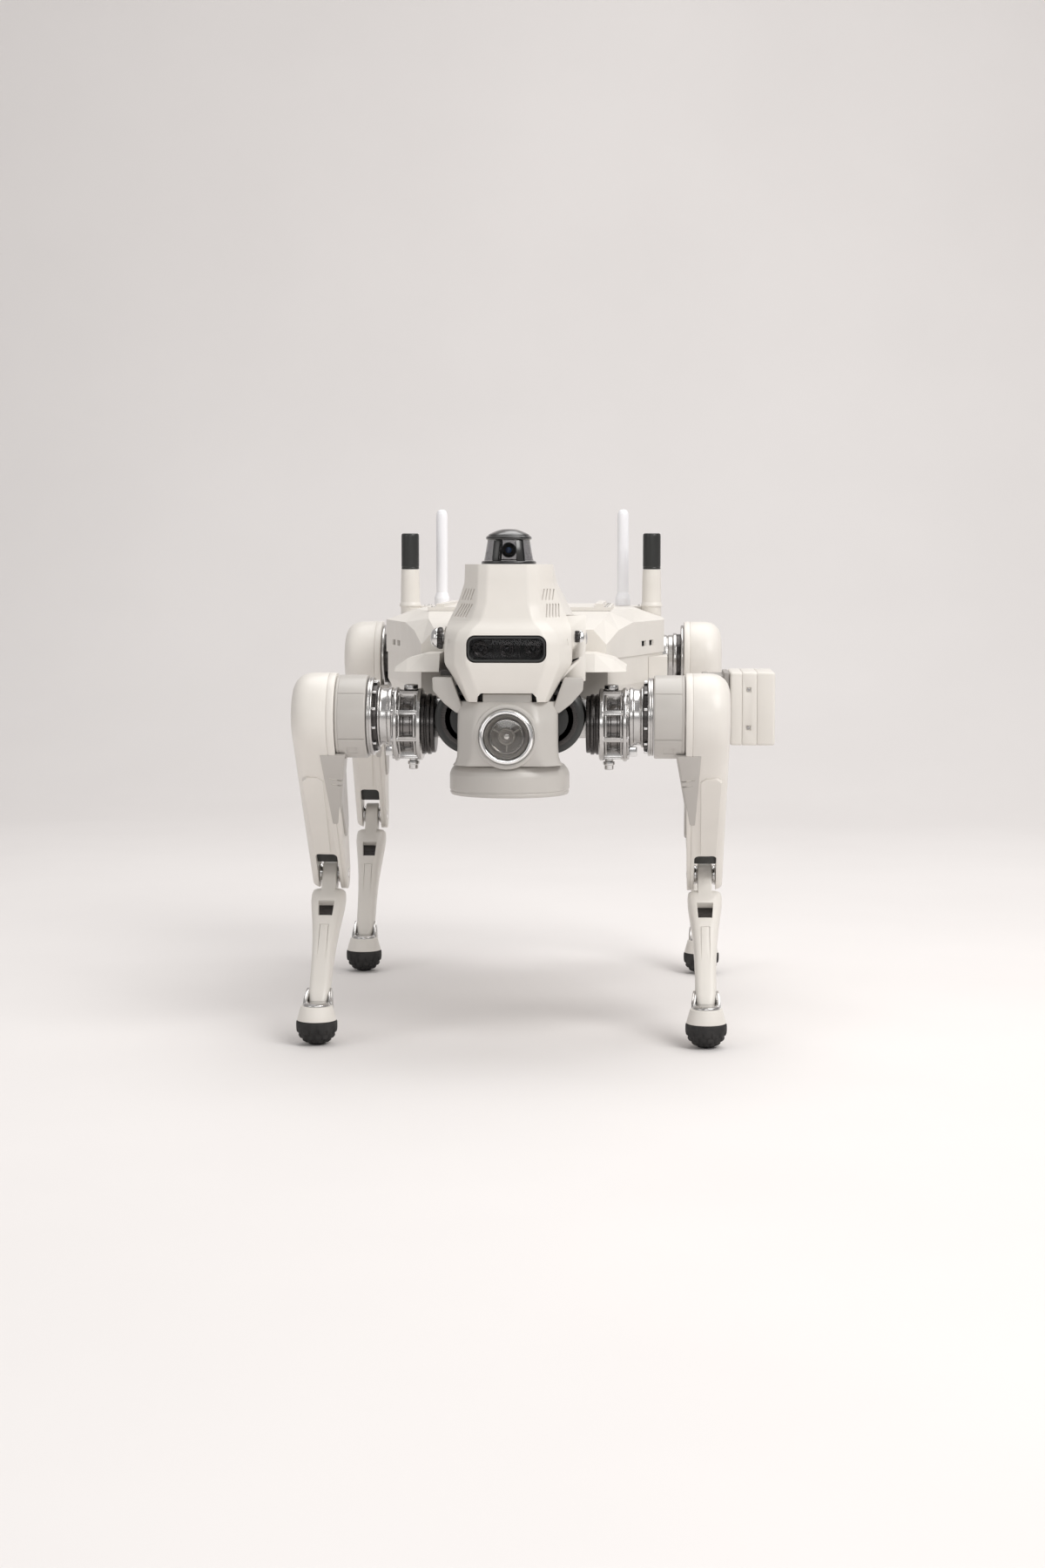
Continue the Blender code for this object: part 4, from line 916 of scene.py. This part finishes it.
def head_rows():
    """Half outlines (x, y) from the face round to the back, with their heights, from the mouth up."""
    face = HEAD_FRONT
    back = HEAD_BACK
    table = [
        (0.4166, (0.030, 0.012), (0.0440, 0.016), (0.0480, 0.030), (0.0480, 0.0)),
        (0.4450, (0.040, 0.004), (0.0545, 0.012), (0.0640, 0.034), (0.0640, 0.0)),
        (0.4600, (0.046, 0.0005), (0.0612, 0.012), (0.0745, 0.040), (0.0775, 0.0)),
        (0.4860, (0.046, 0.0000), (0.0605, 0.012), (0.0745, 0.040), (0.0795, 0.0)),
        (0.4985, (0.041, 0.0036), (0.0562, 0.016), (0.0735, 0.044), (0.0798, 0.0)),
        (0.5100, (0.030, 0.0160), (0.0420, 0.025), (0.0700, 0.060), (0.0745, 0.0)),
        (0.5300, (0.0245, 0.0210), (0.0362, 0.027), (0.0600, 0.062), (0.0640, 0.0)),
        (0.5530, (0.0235, 0.0230), (0.0350, 0.029), (0.0520, 0.058), (0.0530, -0.030)),
        (HEAD_TOP, (0.0230, 0.0240), (0.0345, 0.030), (0.0510, 0.052), (0.0500, -0.066)),
    ]
    return [(z, [(x, face + y) for x, y in row[:3]] + [(row[3][0], back + row[3][1])]) for z, *row in table]


def blend_rows(rows, reach=0.0045, steps=3):
    """Ease every bend between rows, so a facet meets the next one in a short curve."""
    result = [rows[0]]
    for before, row, after in zip(rows, rows[1:], rows[2:]):
        for step in range(steps + 1):
            t = step / steps
            share_low = min(0.45, reach / (row[0] - before[0])) * (1 - t) ** 2
            share_high = min(0.45, reach / (after[0] - row[0])) * t ** 2
            keep = 1 - share_low - share_high
            z = before[0] * share_low + row[0] * keep + after[0] * share_high
            outline = [tuple(a * share_low + b * keep + c * share_high for a, b, c in zip(p, q, r))
                       for p, q, r in zip(before[1], row[1], after[1])]
            result.append((z, outline))
    result.append(rows[-1])
    return result


def soft_corner(points, radius=0.0026, steps=4):
    """Round the corners of a closed outline."""
    result = []
    count = len(points)
    for index in range(count):
        corner = Vector(points[index])
        before = Vector(points[index - 1]) - corner
        after = Vector(points[(index + 1) % count]) - corner
        reach = min(radius, before.length * 0.4, after.length * 0.4)
        start = corner + before.normalized() * reach
        stop = corner + after.normalized() * reach
        for step in range(steps + 1):
            t = step / steps
            result.append(tuple(start * (1 - t) ** 2 + corner * 2 * t * (1 - t) + stop * t ** 2))
    return result


def head_look():
    """Faceted head cover with its mouth notch, brow pocket, vents and side seams."""
    sections = []
    for z, half in blend_rows(head_rows()):
        outline = half + [(-x, y) for x, y in reversed(half)]
        sections.append([(x, y, z) for x, y in soft_corner(outline)])
    made = piece("head_cover", skin(sections), "cream", "torso", ["head_shell"], smooth=32,
                 frame_matrix=HEAD_AXIS)
    under = block((-0.12, HEAD_FRONT + 0.0500, 0.40), (0.12, HEAD_BACK + 0.03, 0.4531))
    carve(made, moved(under, HEAD_AXIS))
    notch = skin([[(-0.0365, y, 0.40), (0.0365, y, 0.40), (0.0340, y, 0.4225), (0.0300, y, 0.4268),
                   (-0.0300, y, 0.4268), (-0.0340, y, 0.4225)] for y in (-0.45, -0.20)])
    carve(made, moved(notch, HEAD_AXIS))
    pocket = block((-0.0462, -0.45, BROW_Z - 0.0158), (0.0462, HEAD_FRONT + 0.0235, BROW_Z + 0.0158))
    carve(made, moved(round_block(pocket, 0.0100), HEAD_AXIS))
    hollow = block((-0.038, HEAD_FRONT + 0.042, 0.44), (0.038, HEAD_BACK - 0.012, 0.5270))
    carve(made, moved(hollow, HEAD_AXIS))
    for sign in (1, -1):
        head_vents(made, sign)
        seam = skin([[(sign * x, HEAD_FRONT + y + slide, z)
                      for x, y in ((0.0400, 0.0440), (0.0900, 0.0440), (0.0900, 0.0446), (0.0400, 0.0446))]
                     for z, slide in ((0.440, -0.004), (0.470, 0.0), (0.500, 0.006), (0.516, 0.018))])
        shell = piece("seam_keep", moved(seam, HEAD_AXIS), "cream", "torso")
        tool = trim_to_skin(shell)
        carve(made, tool)
        slot = block((sign * 0.0630 - 0.008, HEAD_FRONT + 0.0300, BROW_Z + 0.0030),
                     (sign * 0.0630 + 0.012, HEAD_FRONT + 0.0320, BROW_Z + 0.0110), width=0.0004)
        carve(made, moved(slot, HEAD_AXIS))
    soften(made, 0.0009, 3, 38)
    bake(made, 32)
    liner = block((-0.0372, HEAD_FRONT + 0.0428, 0.4600), (0.0372, HEAD_BACK - 0.0130, 0.5260), width=0.001)
    piece("head_liner", liner, "black_satin", "torso", frame_matrix=HEAD_AXIS)


def round_block(shape, radius):
    """Round a block's four edges that run along Y."""
    edges = [edge for edge in shape.edges if abs((edge.verts[0].co - edge.verts[1].co).normalized().y) > 0.9]
    bmesh.ops.bevel(shape, geom=edges, offset=radius, segments=8, affect="EDGES", profile=0.5)
    return shape


def trim_to_skin(shell):
    """Keep only a shallow outer band of a seam cutter, so the seam stays a groove."""
    inner = []
    for z, half in blend_rows(head_rows()):
        shrunk = [(max(0.001, x - 0.0007), y + 0.0007) for x, y in half]
        outline = shrunk + [(-x, y) for x, y in reversed(shrunk)]
        inner.append([(x, y, z) for x, y in soft_corner(outline)])
    carve(shell, moved(skin(inner), HEAD_AXIS))
    tool = bmesh.new()
    tool.from_mesh(shell.data)
    bpy.data.objects.remove(shell)
    return tool


def head_vents(made, sign):
    """Two stacked rows of slanted slats in the facet on each side of the head's column."""
    rows = [(0.5215, (0.0385, 0.0262), (0.0643, 0.0611), 5, 0.0088),
            (0.5400, (0.0357, 0.0279), (0.0567, 0.0603), 4, 0.0074)]
    for z, cheek, flank_end, count, half in rows:
        facet = Vector((flank_end[0] - cheek[0], flank_end[1] - cheek[1]))
        turn = math.atan2(-facet.x, facet.y)
        for index in range(count):
            share = 0.26 + 0.52 * index / (count - 1)
            slat = block((-0.0110, -0.0012, -half), (0.0110, 0.0012, half), width=0.0009)
            x, y = cheek[0] + facet.x * share, HEAD_FRONT + cheek[1] + facet.y * share
            spot = Matrix.Translation((sign * x, y, z))
            lean = Matrix.Rotation(sign * turn, 4, "Z") @ Matrix.Rotation(math.radians(-26 * sign), 4, "X")
            carve(made, moved(slat, HEAD_AXIS @ spot @ lean))


def depth_camera_look():
    """Gloss front with three lens barrels behind it, in a dark frame."""
    face = HEAD_FRONT + 0.0015
    body = block((-0.0450, face + 0.0006, BROW_Z - 0.0145), (0.0450, face + 0.0220, BROW_Z + 0.0145))
    made = piece("depth_camera_frame", moved(round_block(body, 0.0092), HEAD_AXIS), "black_satin", "torso",
                 ["depth_camera"])
    pane_room = round_block(block((-0.0425, face - 0.01, BROW_Z - 0.0120), (0.0425, face + 0.0090, BROW_Z + 0.0120)),
                            0.0072)
    carve(made, moved(pane_room, HEAD_AXIS))
    soften(made, 0.0006, 2, 40)
    bake(made)
    for index, x in enumerate((-0.0300, 0.0, 0.0300)):
        barrel = [(0.0082, 0.0), (0.0092, 0.0), (0.0094, 0.0006), (0.0094, 0.0052), (0, 0.0052), (0, 0.0030),
                  (0.0034, 0.0028), (0.0040, 0.0018), (0.0056, 0.0016), (0.0060, 0.0008), (0.0080, 0.0006),
                  (0.0082, 0.0)]
        shape = lathe(rounded(barrel, 0.0002, 1), 48, "Y", (x, face + 0.0040, BROW_Z))
        piece(f"depth_barrel_{index}", shape, "dark", "torso", frame_matrix=HEAD_AXIS)
        eye = [(0, -0.0010), (0.0018, -0.0006), (0.0032, 0.0004), (0.0036, 0.0014), (0, 0.0016)]
        shape = lathe(rounded(eye, 0.0002, 1), 32, "Y", (x, face + 0.0062, BROW_Z))
        piece(f"depth_eye_{index}", shape, "window", "torso", frame_matrix=HEAD_AXIS)
    for index, x in enumerate((-0.0150, 0.0150)):
        wall = block((x - 0.0009, face + 0.0034, BROW_Z - 0.0118), (x + 0.0009, face + 0.0088, BROW_Z + 0.0118),
                     width=0.0003)
        piece(f"depth_wall_{index}", wall, "black_satin", "torso", frame_matrix=HEAD_AXIS)
    pane = round_block(block((-0.0422, face + 0.0012, BROW_Z - 0.0117), (0.0422, face + 0.0024, BROW_Z + 0.0117)),
                       0.0070)
    made = piece("depth_window", moved(pane, HEAD_AXIS), "pane", "torso")
    soften(made, 0.0003, 2, 40)
    bake(made)


def turned_forward(name, profile, look, z, y, sides=96, replaced=(), radius=0.0004, x=0.0, body="torso"):
    """A part turned round a fore-and-aft axis; heights in the profile point forward from y."""
    points = [(r, -h) for r, h in profile]
    return piece(name, lathe(rounded(points, radius, 2), sides, "Y", (x, y, z)), look, body, replaced,
                 frame_matrix=HEAD_AXIS)


def lamp_look():
    """Round lamp: bright bezel, reflector, spider, emitter and clear lens."""
    front = HEAD_FRONT - 0.005
    bezel = [(0.0262, -0.0060), (0.0268, -0.0010), (0.0276, -0.0002), (0.0290, 0.0), (0.0306, -0.0008),
             (0.0316, -0.0028), (0.0321, -0.0060), (0.0321, -0.0270), (0, -0.0270), (0, -0.0262),
             (0.0262, -0.0262), (0.0262, -0.0060)]
    turned_forward("lamp_bezel_look", bezel, "chrome", LAMP_Z, front, 120, ["lamp_bezel"], 0.0003)
    cup = [(0.0258, -0.0052), (0.0235, -0.0068), (0.0215, -0.0110), (0.0205, -0.0112), (0.0195, -0.0150),
           (0.0150, -0.0190), (0.0100, -0.0205), (0.0100, -0.0230), (0.0258, -0.0230), (0.0258, -0.0052)]
    turned_forward("lamp_reflector", cup, "gray_dark", LAMP_Z, front, 120, (), 0.0004)
    collar = [(0.0100, -0.0205), (0.0102, -0.0120), (0.0092, -0.0104), (0.0078, -0.0104), (0.0070, -0.0125),
              (0.0062, -0.0150), (0, -0.0152), (0, -0.0210), (0.0100, -0.0205)]
    turned_forward("lamp_collar", collar, "gray_dark", LAMP_Z, front, 96, (), 0.0003)
    inner = [(0.0175, -0.0098), (0.0186, -0.0088), (0.0200, -0.0090), (0.0204, -0.0102), (0.0198, -0.0112),
             (0.0178, -0.0110), (0.0175, -0.0098)]
    turned_forward("lamp_inner_ring", inner, "smoked_metal", LAMP_Z, front, 96, (), 0.0003)
    emitter = [(0, -0.0128), (0.0030, -0.0128), (0.0034, -0.0134), (0.0034, -0.0152), (0, -0.0152)]
    turned_forward("lamp_emitter", emitter, "silver_bright", LAMP_Z, front, 48, (), 0.0003)
    spider = []
    for index in range(3):
        turn = Matrix.Rotation(math.radians(90 + 120 * index), 4, "Y")
        arm = block((0.0095, 0.0100, -0.0009), (0.0185, 0.0118, 0.0009), width=0.0003)
        spider.append(moved(arm, turn))
    shape = moved(merge(*spider), Matrix.Translation((0, front, LAMP_Z)))
    piece("lamp_spider", shape, "gray_dark", "torso", frame_matrix=HEAD_AXIS)
    lens = [(0, -0.0018), (0.0120, -0.0024), (0.0200, -0.0036), (0.0256, -0.0050), (0.0256, -0.0060),
            (0.0190, -0.0048), (0.0110, -0.0037), (0, -0.0032)]
    turned_forward("lamp_lens_look", lens, "glass", LAMP_Z, front, 120, ["lamp_lens"], 0.0002)


def chin_look():
    """Gray lower face round the lamp, the tab in the mouth notch and an ear under each cheek."""
    front = HEAD_FRONT + 0.002
    back = HEAD_FRONT + 0.0495
    rows = [(RING_TOP + 0.0003, 0.0640, 0.046, 0.0050), (RING_TOP + 0.0040, 0.0610, 0.043, 0.0030),
            (RING_TOP + 0.0100, 0.0590, 0.040, 0.0012), (0.3640, 0.0583, 0.038, 0.0004),
            (0.3900, 0.0583, 0.036, 0.0000), (0.4010, 0.0582, 0.034, 0.0040), (0.4110, 0.0578, 0.031, 0.0115),
            (0.4162, 0.0574, 0.030, 0.0145)]
    sections = []
    for z, half, flat, fore in rows:
        right = [(flat, front + fore), (half, front + fore + 0.020), (half, back)]
        outline = right + [(-x, y) for x, y in reversed(right)]
        sections.append([(x, y, z) for x, y in soft_corner(outline, 0.0065, 5)])
    made = piece("chin_cover", skin(sections), "gray", "torso", ["chin_shell"], frame_matrix=HEAD_AXIS)
    tab = block((-0.0285, front + 0.0155, 0.4100), (0.0285, back, 0.4260), width=0.0020, segments=3)
    carve(made, moved(tab, HEAD_AXIS), "UNION")
    hole = lathe([(0, 0.08), (0.0326, 0.08), (0.0326, -0.027), (0, -0.027)], 96, "Y", (0, HEAD_FRONT, LAMP_Z))
    mirror = Matrix.Translation((0, 2 * HEAD_FRONT, 0)) @ Matrix.Diagonal((1, -1, 1, 1))
    carve(made, moved(hole, HEAD_AXIS @ mirror))
    rim = [(0.0326, -0.0004), (0.0345, 0.0004), (0.0372, -0.0002), (0.0380, -0.0030), (0.0326, -0.0080)]
    soften(made, 0.0010, 3, 38)
    bake(made)
    turned_forward("lamp_surround", rim + rim[:1], "gray", LAMP_Z, front + 0.0006, 120, (), 0.0006)
    for side, sign in (("left", 1), ("right", -1)):
        ear = skin([[(sign * x, y, z) for x, z in ((0.0505, 0.4030), (0.0600, 0.4030), (0.0740, 0.4140),
                                                   (0.0872, 0.4290), (0.0880, 0.4440), (0.0655, 0.4445))]
                    for y in (back - 0.0200, back)])
        shape = piece(f"cheek_ear_{side}", ear, "gray", "torso", frame_matrix=HEAD_AXIS)
        soften(shape, 0.0016, 3, 25)
        bake(shape)
    ring = [(0, RING_TOP), (0.0590, RING_TOP), (0.0640, RING_TOP - 0.0016), (0.0685, RING_TOP - 0.0070),
            (0.0705, RING_TOP - 0.0125), (0.0705, RING_TOP - 0.0300), (0.0694, RING_TOP - 0.0312),
            (0.0694, RING_TOP - 0.0322), (0.0702, RING_TOP - 0.0330), (0.0690, RING_TOP - 0.0360),
            (0.0680, RING_TOP - 0.0365), (0, RING_TOP - 0.0365)]
    low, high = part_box("nose_ring")
    piece("nose_base", lathe(rounded(ring, 0.0014, 3), 160, "Z", (0, (low.y + high.y) / 2, 0)), "gray", "torso",
          ["nose_ring"], frame_matrix=HEAD_AXIS)


def dome_look():
    """Gloss cap with a finger groove, struts over the clear window, and the camera inside."""
    low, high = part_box("dome_cap")
    y = (low.y + high.y) / 2
    top = high.z
    base_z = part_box("dome_base")[0].z
    cap = [(0, top), (0.0080, top - 0.0004), (0.0120, top - 0.0014), (0.0165, top - 0.0030), (0.0205, top - 0.0048),
           (0.0240, top - 0.0068), (0.0240, top - 0.0078), (0.0256, top - 0.0084), (0.0268, top - 0.0100),
           (0.0266, top - 0.0118), (0.0254, top - 0.0128), (0.0, top - 0.0128)]

    def turned_z(name, profile, look, body, replaced=()):
        shape = lathe(rounded(profile, 0.0005, 3), 96, "Z", (0, y, 0))
        return piece(name, shape, look, body, replaced, frame_matrix=HEAD_AXIS)

    turned_z("dome_cap_look", cap, "black", "torso", ["dome_cap"])
    base = [(0, base_z + 0.0038), (0.0296, base_z + 0.0038), (0.0312, base_z + 0.0034), (0.0320, base_z + 0.0022),
            (0.0320, base_z), (0, base_z)]
    turned_z("dome_base_look", base, "black", "torso", ["dome_base"])
    low_z = base_z + 0.0040
    cap_z = top - 0.0129
    shell = [(0.0288, low_z), (0.0280, low_z + 0.0040), (0.0266, low_z + 0.0120), (0.0252, cap_z - 0.0030),
             (0.0246, cap_z), (0.0236, cap_z), (0.0242, cap_z - 0.0040), (0.0256, low_z + 0.0115),
             (0.0270, low_z + 0.0038), (0.0277, low_z), (0.0288, low_z)]
    turned_z("dome_window_look", shell, "pane", "torso", ["dome_window"])
    struts = []
    for index in range(6):
        turn = math.radians(index * 60)
        if index in (0, 3):
            continue
        slope = Matrix.Rotation(math.radians(-10.5), 4, "Y")
        strut = block((-0.0012, -0.0042, 0.0), (0.0010, 0.0042, 0.0238), width=0.0006)
        spot = Matrix.Rotation(turn, 4, "Z") @ Matrix.Translation((0.0288, 0, low_z - 0.0002)) @ slope
        struts.append(moved(strut, Matrix.Translation((0, y, 0)) @ spot))
    piece("dome_struts", merge(*struts), "black", "torso", frame_matrix=HEAD_AXIS)
    tilt = Vector(JOINTS["camera_tilt"]["pos_m"])
    disc = lathe(rounded([(0, 0), (0.0150, 0), (0.0150, 0.0012), (0.0140, 0.0016), (0, 0.0016)], 0.0003), 64, "Z",
                 (0, 0, low_z + 0.0001))
    arms = [block((sign * 0.0118 - 0.0010, -0.0030, low_z + 0.0010),
                  (sign * 0.0118 + 0.0010, 0.0030, tilt.z + 0.0032), width=0.0008, segments=3) for sign in (1, -1)]
    pins = [lathe(rounded([(0, start), (0.0018, start), (0.0018, stop), (0, stop)], 0.0003), 24, "X",
                  (0, 0, tilt.z)) for start, stop in ((0.0082, 0.0134), (-0.0134, -0.0082))]
    shape = moved(merge(disc, *arms, *pins), Matrix.Translation((0, tilt.y, 0)))
    piece("camera_yoke_look", shape, "dark", "camera_pan", ["camera_yoke"], frame_matrix=HEAD_AXIS)
    radius = 0.0088
    profile = [(radius * math.sin(math.radians(a)), radius * math.cos(math.radians(a))) for a in range(0, 139, 6)]
    profile += [(0.0058, -0.0068), (0.0058, -0.0083), (0.0050, -0.0085), (0.0044, -0.0078), (0.0034, -0.0074),
                (0, -0.0070)]
    shape = lathe(profile, 64, "Y", (0, tilt.y, tilt.z))
    piece("camera_ball_look", shape, "black_satin", "camera_tilt", ["camera_ball"], frame_matrix=HEAD_AXIS)
    eye = lathe([(0, -0.0082), (0.0022, -0.0080), (0.0036, -0.0074), (0, -0.0071)], 40, "Y", (0, tilt.y, tilt.z))
    # The eye's bright blue is a painted glint.
    piece("camera_eye", eye, "coated_painted_glint", "camera_tilt", frame_matrix=HEAD_AXIS)


def knob_look(side, sign):
    """Thumb knob: bright dome, knurled dark collar and a stud into the cheek."""
    centre = Vector(JOINTS[f"clamp_knob_{side}_turn"]["pos_m"])
    flip = Matrix.Translation(centre) @ Matrix.Diagonal((sign, 1, 1, 1))
    body = f"clamp_knob_{side}"
    dome = [(0, 0.0165), (0.0034, 0.0163), (0.0068, 0.0154), (0.0096, 0.0138), (0.0114, 0.0114), (0.0122, 0.0090),
            (0.0122, 0.0078), (0.0106, 0.0074), (0, 0.0074)]
    piece(f"knob_dome_{side}", lathe(rounded(dome, 0.0004, 2), 72, "X"), "silver_bright", body, [body],
          frame_matrix=flip)
    teeth = bmesh.new()
    count = 96
    rings = []
    for x, radius, knurl in ((0.0074, 0.0098, 0.0), (0.0072, 0.0122, 0.0007), (0.0056, 0.0128, 0.0009),
                             (0.0034, 0.0128, 0.0009), (0.0020, 0.0122, 0.0007), (0.0016, 0.0098, 0.0)):
        ring = []
        for step in range(count):
            turn = 2 * math.pi * step / count
            reach = radius - (knurl if step % 4 > 1 else 0)
            ring.append(teeth.verts.new((x, reach * math.cos(turn), reach * math.sin(turn))))
        rings.append(ring)
    piece(f"knob_collar_{side}", bridge(teeth, rings), "dark", body, frame_matrix=flip)
    stud = [(0, 0.0016), (0.0070, 0.0016), (0.0070, 0.0006), (0.0064, 0.0004), (0, 0.0004)]
    piece(f"knob_stud_{side}", lathe(rounded(stud, 0.0002), 40, "X"), "silver", body, frame_matrix=flip)


# ---------------------------------------------------------------- body fittings
def deck_fasteners():
    """Countersunk screws round the payload deck and a service hatch behind it."""
    low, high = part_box("payload_deck")
    plate_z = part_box("torso_top_shell")[1].z + 0.0050
    screws = []
    for x in (low.x + 0.006, high.x - 0.006):
        for index in range(5):
            y = low.y + 0.010 + (high.y - low.y - 0.020) * index / 4
            screws.append(hex_bolt(0.0026, 0.0009, (x, y, plate_z - 0.0001), "Z"))
    hatch_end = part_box("torso_top_shell")[1].y
    for x in (-0.150, 0.150):
        for y in (hatch_end - 0.022, hatch_end - 0.090):
            screws.append(hex_bolt(0.0028, 0.0010, (MIDDLE_X + x, y, plate_z - 0.0052), "Z"))
    piece("deck_screws", merge(*screws), "silver", "torso")


def side_module_look():
    """Three-part case with square recessed screws and a finned cooler."""
    low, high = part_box("side_module_case")
    case = block(low, high, width=0.0035, segments=4)
    made = piece("side_module_cover", case, "cream", "torso", ["side_module_case"])
    seam = 0.0011
    for share in (0.27, 0.60):
        x = low.x + (high.x - low.x) * share
        for y0, z0, y1, z1 in ((low.y - 0.01, low.z - 0.01, low.y + seam, high.z + 0.01),
                               (low.y - 0.01, high.z - seam, high.y + 0.01, high.z + 0.01),
                               (high.y - seam, low.z - 0.01, high.y + 0.01, high.z + 0.01),
                               (low.y - 0.01, low.z - 0.01, high.y + 0.01, low.z + seam)):
            carve(made, block((x - 0.0004, y0, z0), (x + 0.0004, y1, z1)))
    screws = []
    for z in (low.z + (high.z - low.z) * 0.24, low.z + (high.z - low.z) * 0.76):
        for y, turn in ((low.y, 1), (high.y, -1)):
            x = low.x + (high.x - low.x) * 0.41
            carve(made, block((x - 0.0034, y - 0.0022, z - 0.0034), (x + 0.0034, y + 0.0022, z + 0.0034)))
            screws.append(hex_bolt(0.0023, 0.0008, (x, y + turn * 0.0021, z), "Y", turn * -1))
    soften(made, 0.0005, 2, 40)
    bake(made)
    piece("side_module_screws", merge(*screws), "silver", "torso")
    low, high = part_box("side_module_cooler")
    plates = [block((high.x - 0.0075, low.y, low.z), (high.x - 0.0003, high.y, high.z), width=0.0012),
              block((low.x + 0.0002, low.y + 0.004, low.z + 0.003), (low.x + 0.0080, high.y - 0.004, high.z - 0.003),
                    width=0.0010)]
    count = 11
    for index in range(count):
        z = low.z + 0.0050 + (high.z - low.z - 0.0100) * index / (count - 1)
        plates.append(block((low.x + 0.0060, low.y + 0.002, z - 0.0011),
                            (high.x - 0.0060, high.y - 0.002, z + 0.0011), width=0.0005))
    piece("side_module_fins", merge(*plates), "gray_dark", "torso", ["side_module_cooler"])


def antenna_look(side):
    """Antenna post with its dark cap, and the white whip beside it."""
    low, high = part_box(f"antenna_post_{side}")
    middle = (low + high) / 2
    cap_low, cap_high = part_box(f"antenna_cap_{side}")
    post = [(0, cap_low.z - 0.0002), (0.0116, cap_low.z - 0.0002), (0.0124, cap_low.z - 0.0010),
            (0.0130, cap_low.z - 0.0200), (0.0132, low.z + 0.026), (0.0150, low.z + 0.0225), (0.0150, low.z + 0.0202),
            (0.0132, low.z + 0.0200), (0.0132, low.z), (0, low.z)]
    piece(f"antenna_post_look_{side}", lathe(rounded(post, 0.0006, 2), 80, "Z", (middle.x, middle.y, 0)), "cream",
          "torso", [f"antenna_post_{side}"])
    cap = [(0, cap_high.z), (0.0104, cap_high.z), (0.0118, cap_high.z - 0.0012), (0.0122, cap_high.z - 0.0040),
           (0.0122, cap_low.z + 0.0040), (0.0119, cap_low.z + 0.0034), (0.0119, cap_low.z + 0.0024),
           (0.0122, cap_low.z + 0.0018), (0.0120, cap_low.z), (0, cap_low.z)]
    piece(f"antenna_cap_look_{side}", lathe(rounded(cap, 0.0005, 3), 80, "Z", (middle.x, middle.y, 0)),
          "black_satin", "torso", [f"antenna_cap_{side}"])
    low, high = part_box(f"whip_antenna_{side}")
    middle = (low + high) / 2
    whip = [(0, high.z), (0.0034, high.z - 0.0004), (0.0062, high.z - 0.0022), (0.0076, high.z - 0.0060),
            (0.0080, high.z - 0.0120), (0.0080, low.z + 0.0200), (0.0078, low.z + 0.0194), (0.0078, low.z + 0.0182),
            (0.0084, low.z + 0.0176), (0.0105, low.z + 0.0105), (0.0105, low.z + 0.0004), (0, low.z + 0.0004)]
    piece(f"whip_look_{side}", lathe(rounded(whip, 0.0005, 3), 80, "Z", (middle.x, middle.y, 0)), "white", "torso",
          [f"whip_antenna_{side}"])


# ---------------------------------------------------------------- kept CAD nodes
KEPT = {
    "chassis_frame": "dark", "battery_pack": "black_satin", "control_computer": "black_satin",
    "torso_top_shell": "cream", "torso_belly_shell": "cream", "payload_deck": "cream",
    "side_module_arm": "cream",
}


def coat_kept_nodes():
    """Give the CAD nodes that stay visible their material and a small edge radius."""
    looks = dict(KEPT)
    for end, side in LEGS:
        looks[f"{end}_{side}_thigh_cover"] = "gray"
    for name, look in looks.items():
        for slot in NODES[name].material_slots:
            slot.material = LOOK[look]
        soften(NODES[name], 0.0006, 2, 40)


# ---------------------------------------------------------------- build
for end, side in LEGS:
    leg = Leg(end, side)
    thigh_look(leg)
    shank_look(leg)
    foot_look(leg)
    (front_hip_actuator if leg.front else rear_hip_actuator)(leg)
    hip_bracket_look(leg)
    drive_look(leg)
head_look()
depth_camera_look()
lamp_look()
chin_look()
dome_look()
side_module_look()
deck_fasteners()
for side, sign in (("left", 1), ("right", -1)):
    knob_look(side, sign)
    antenna_look(side)
coat_kept_nodes()
stage()
lights()
camera()
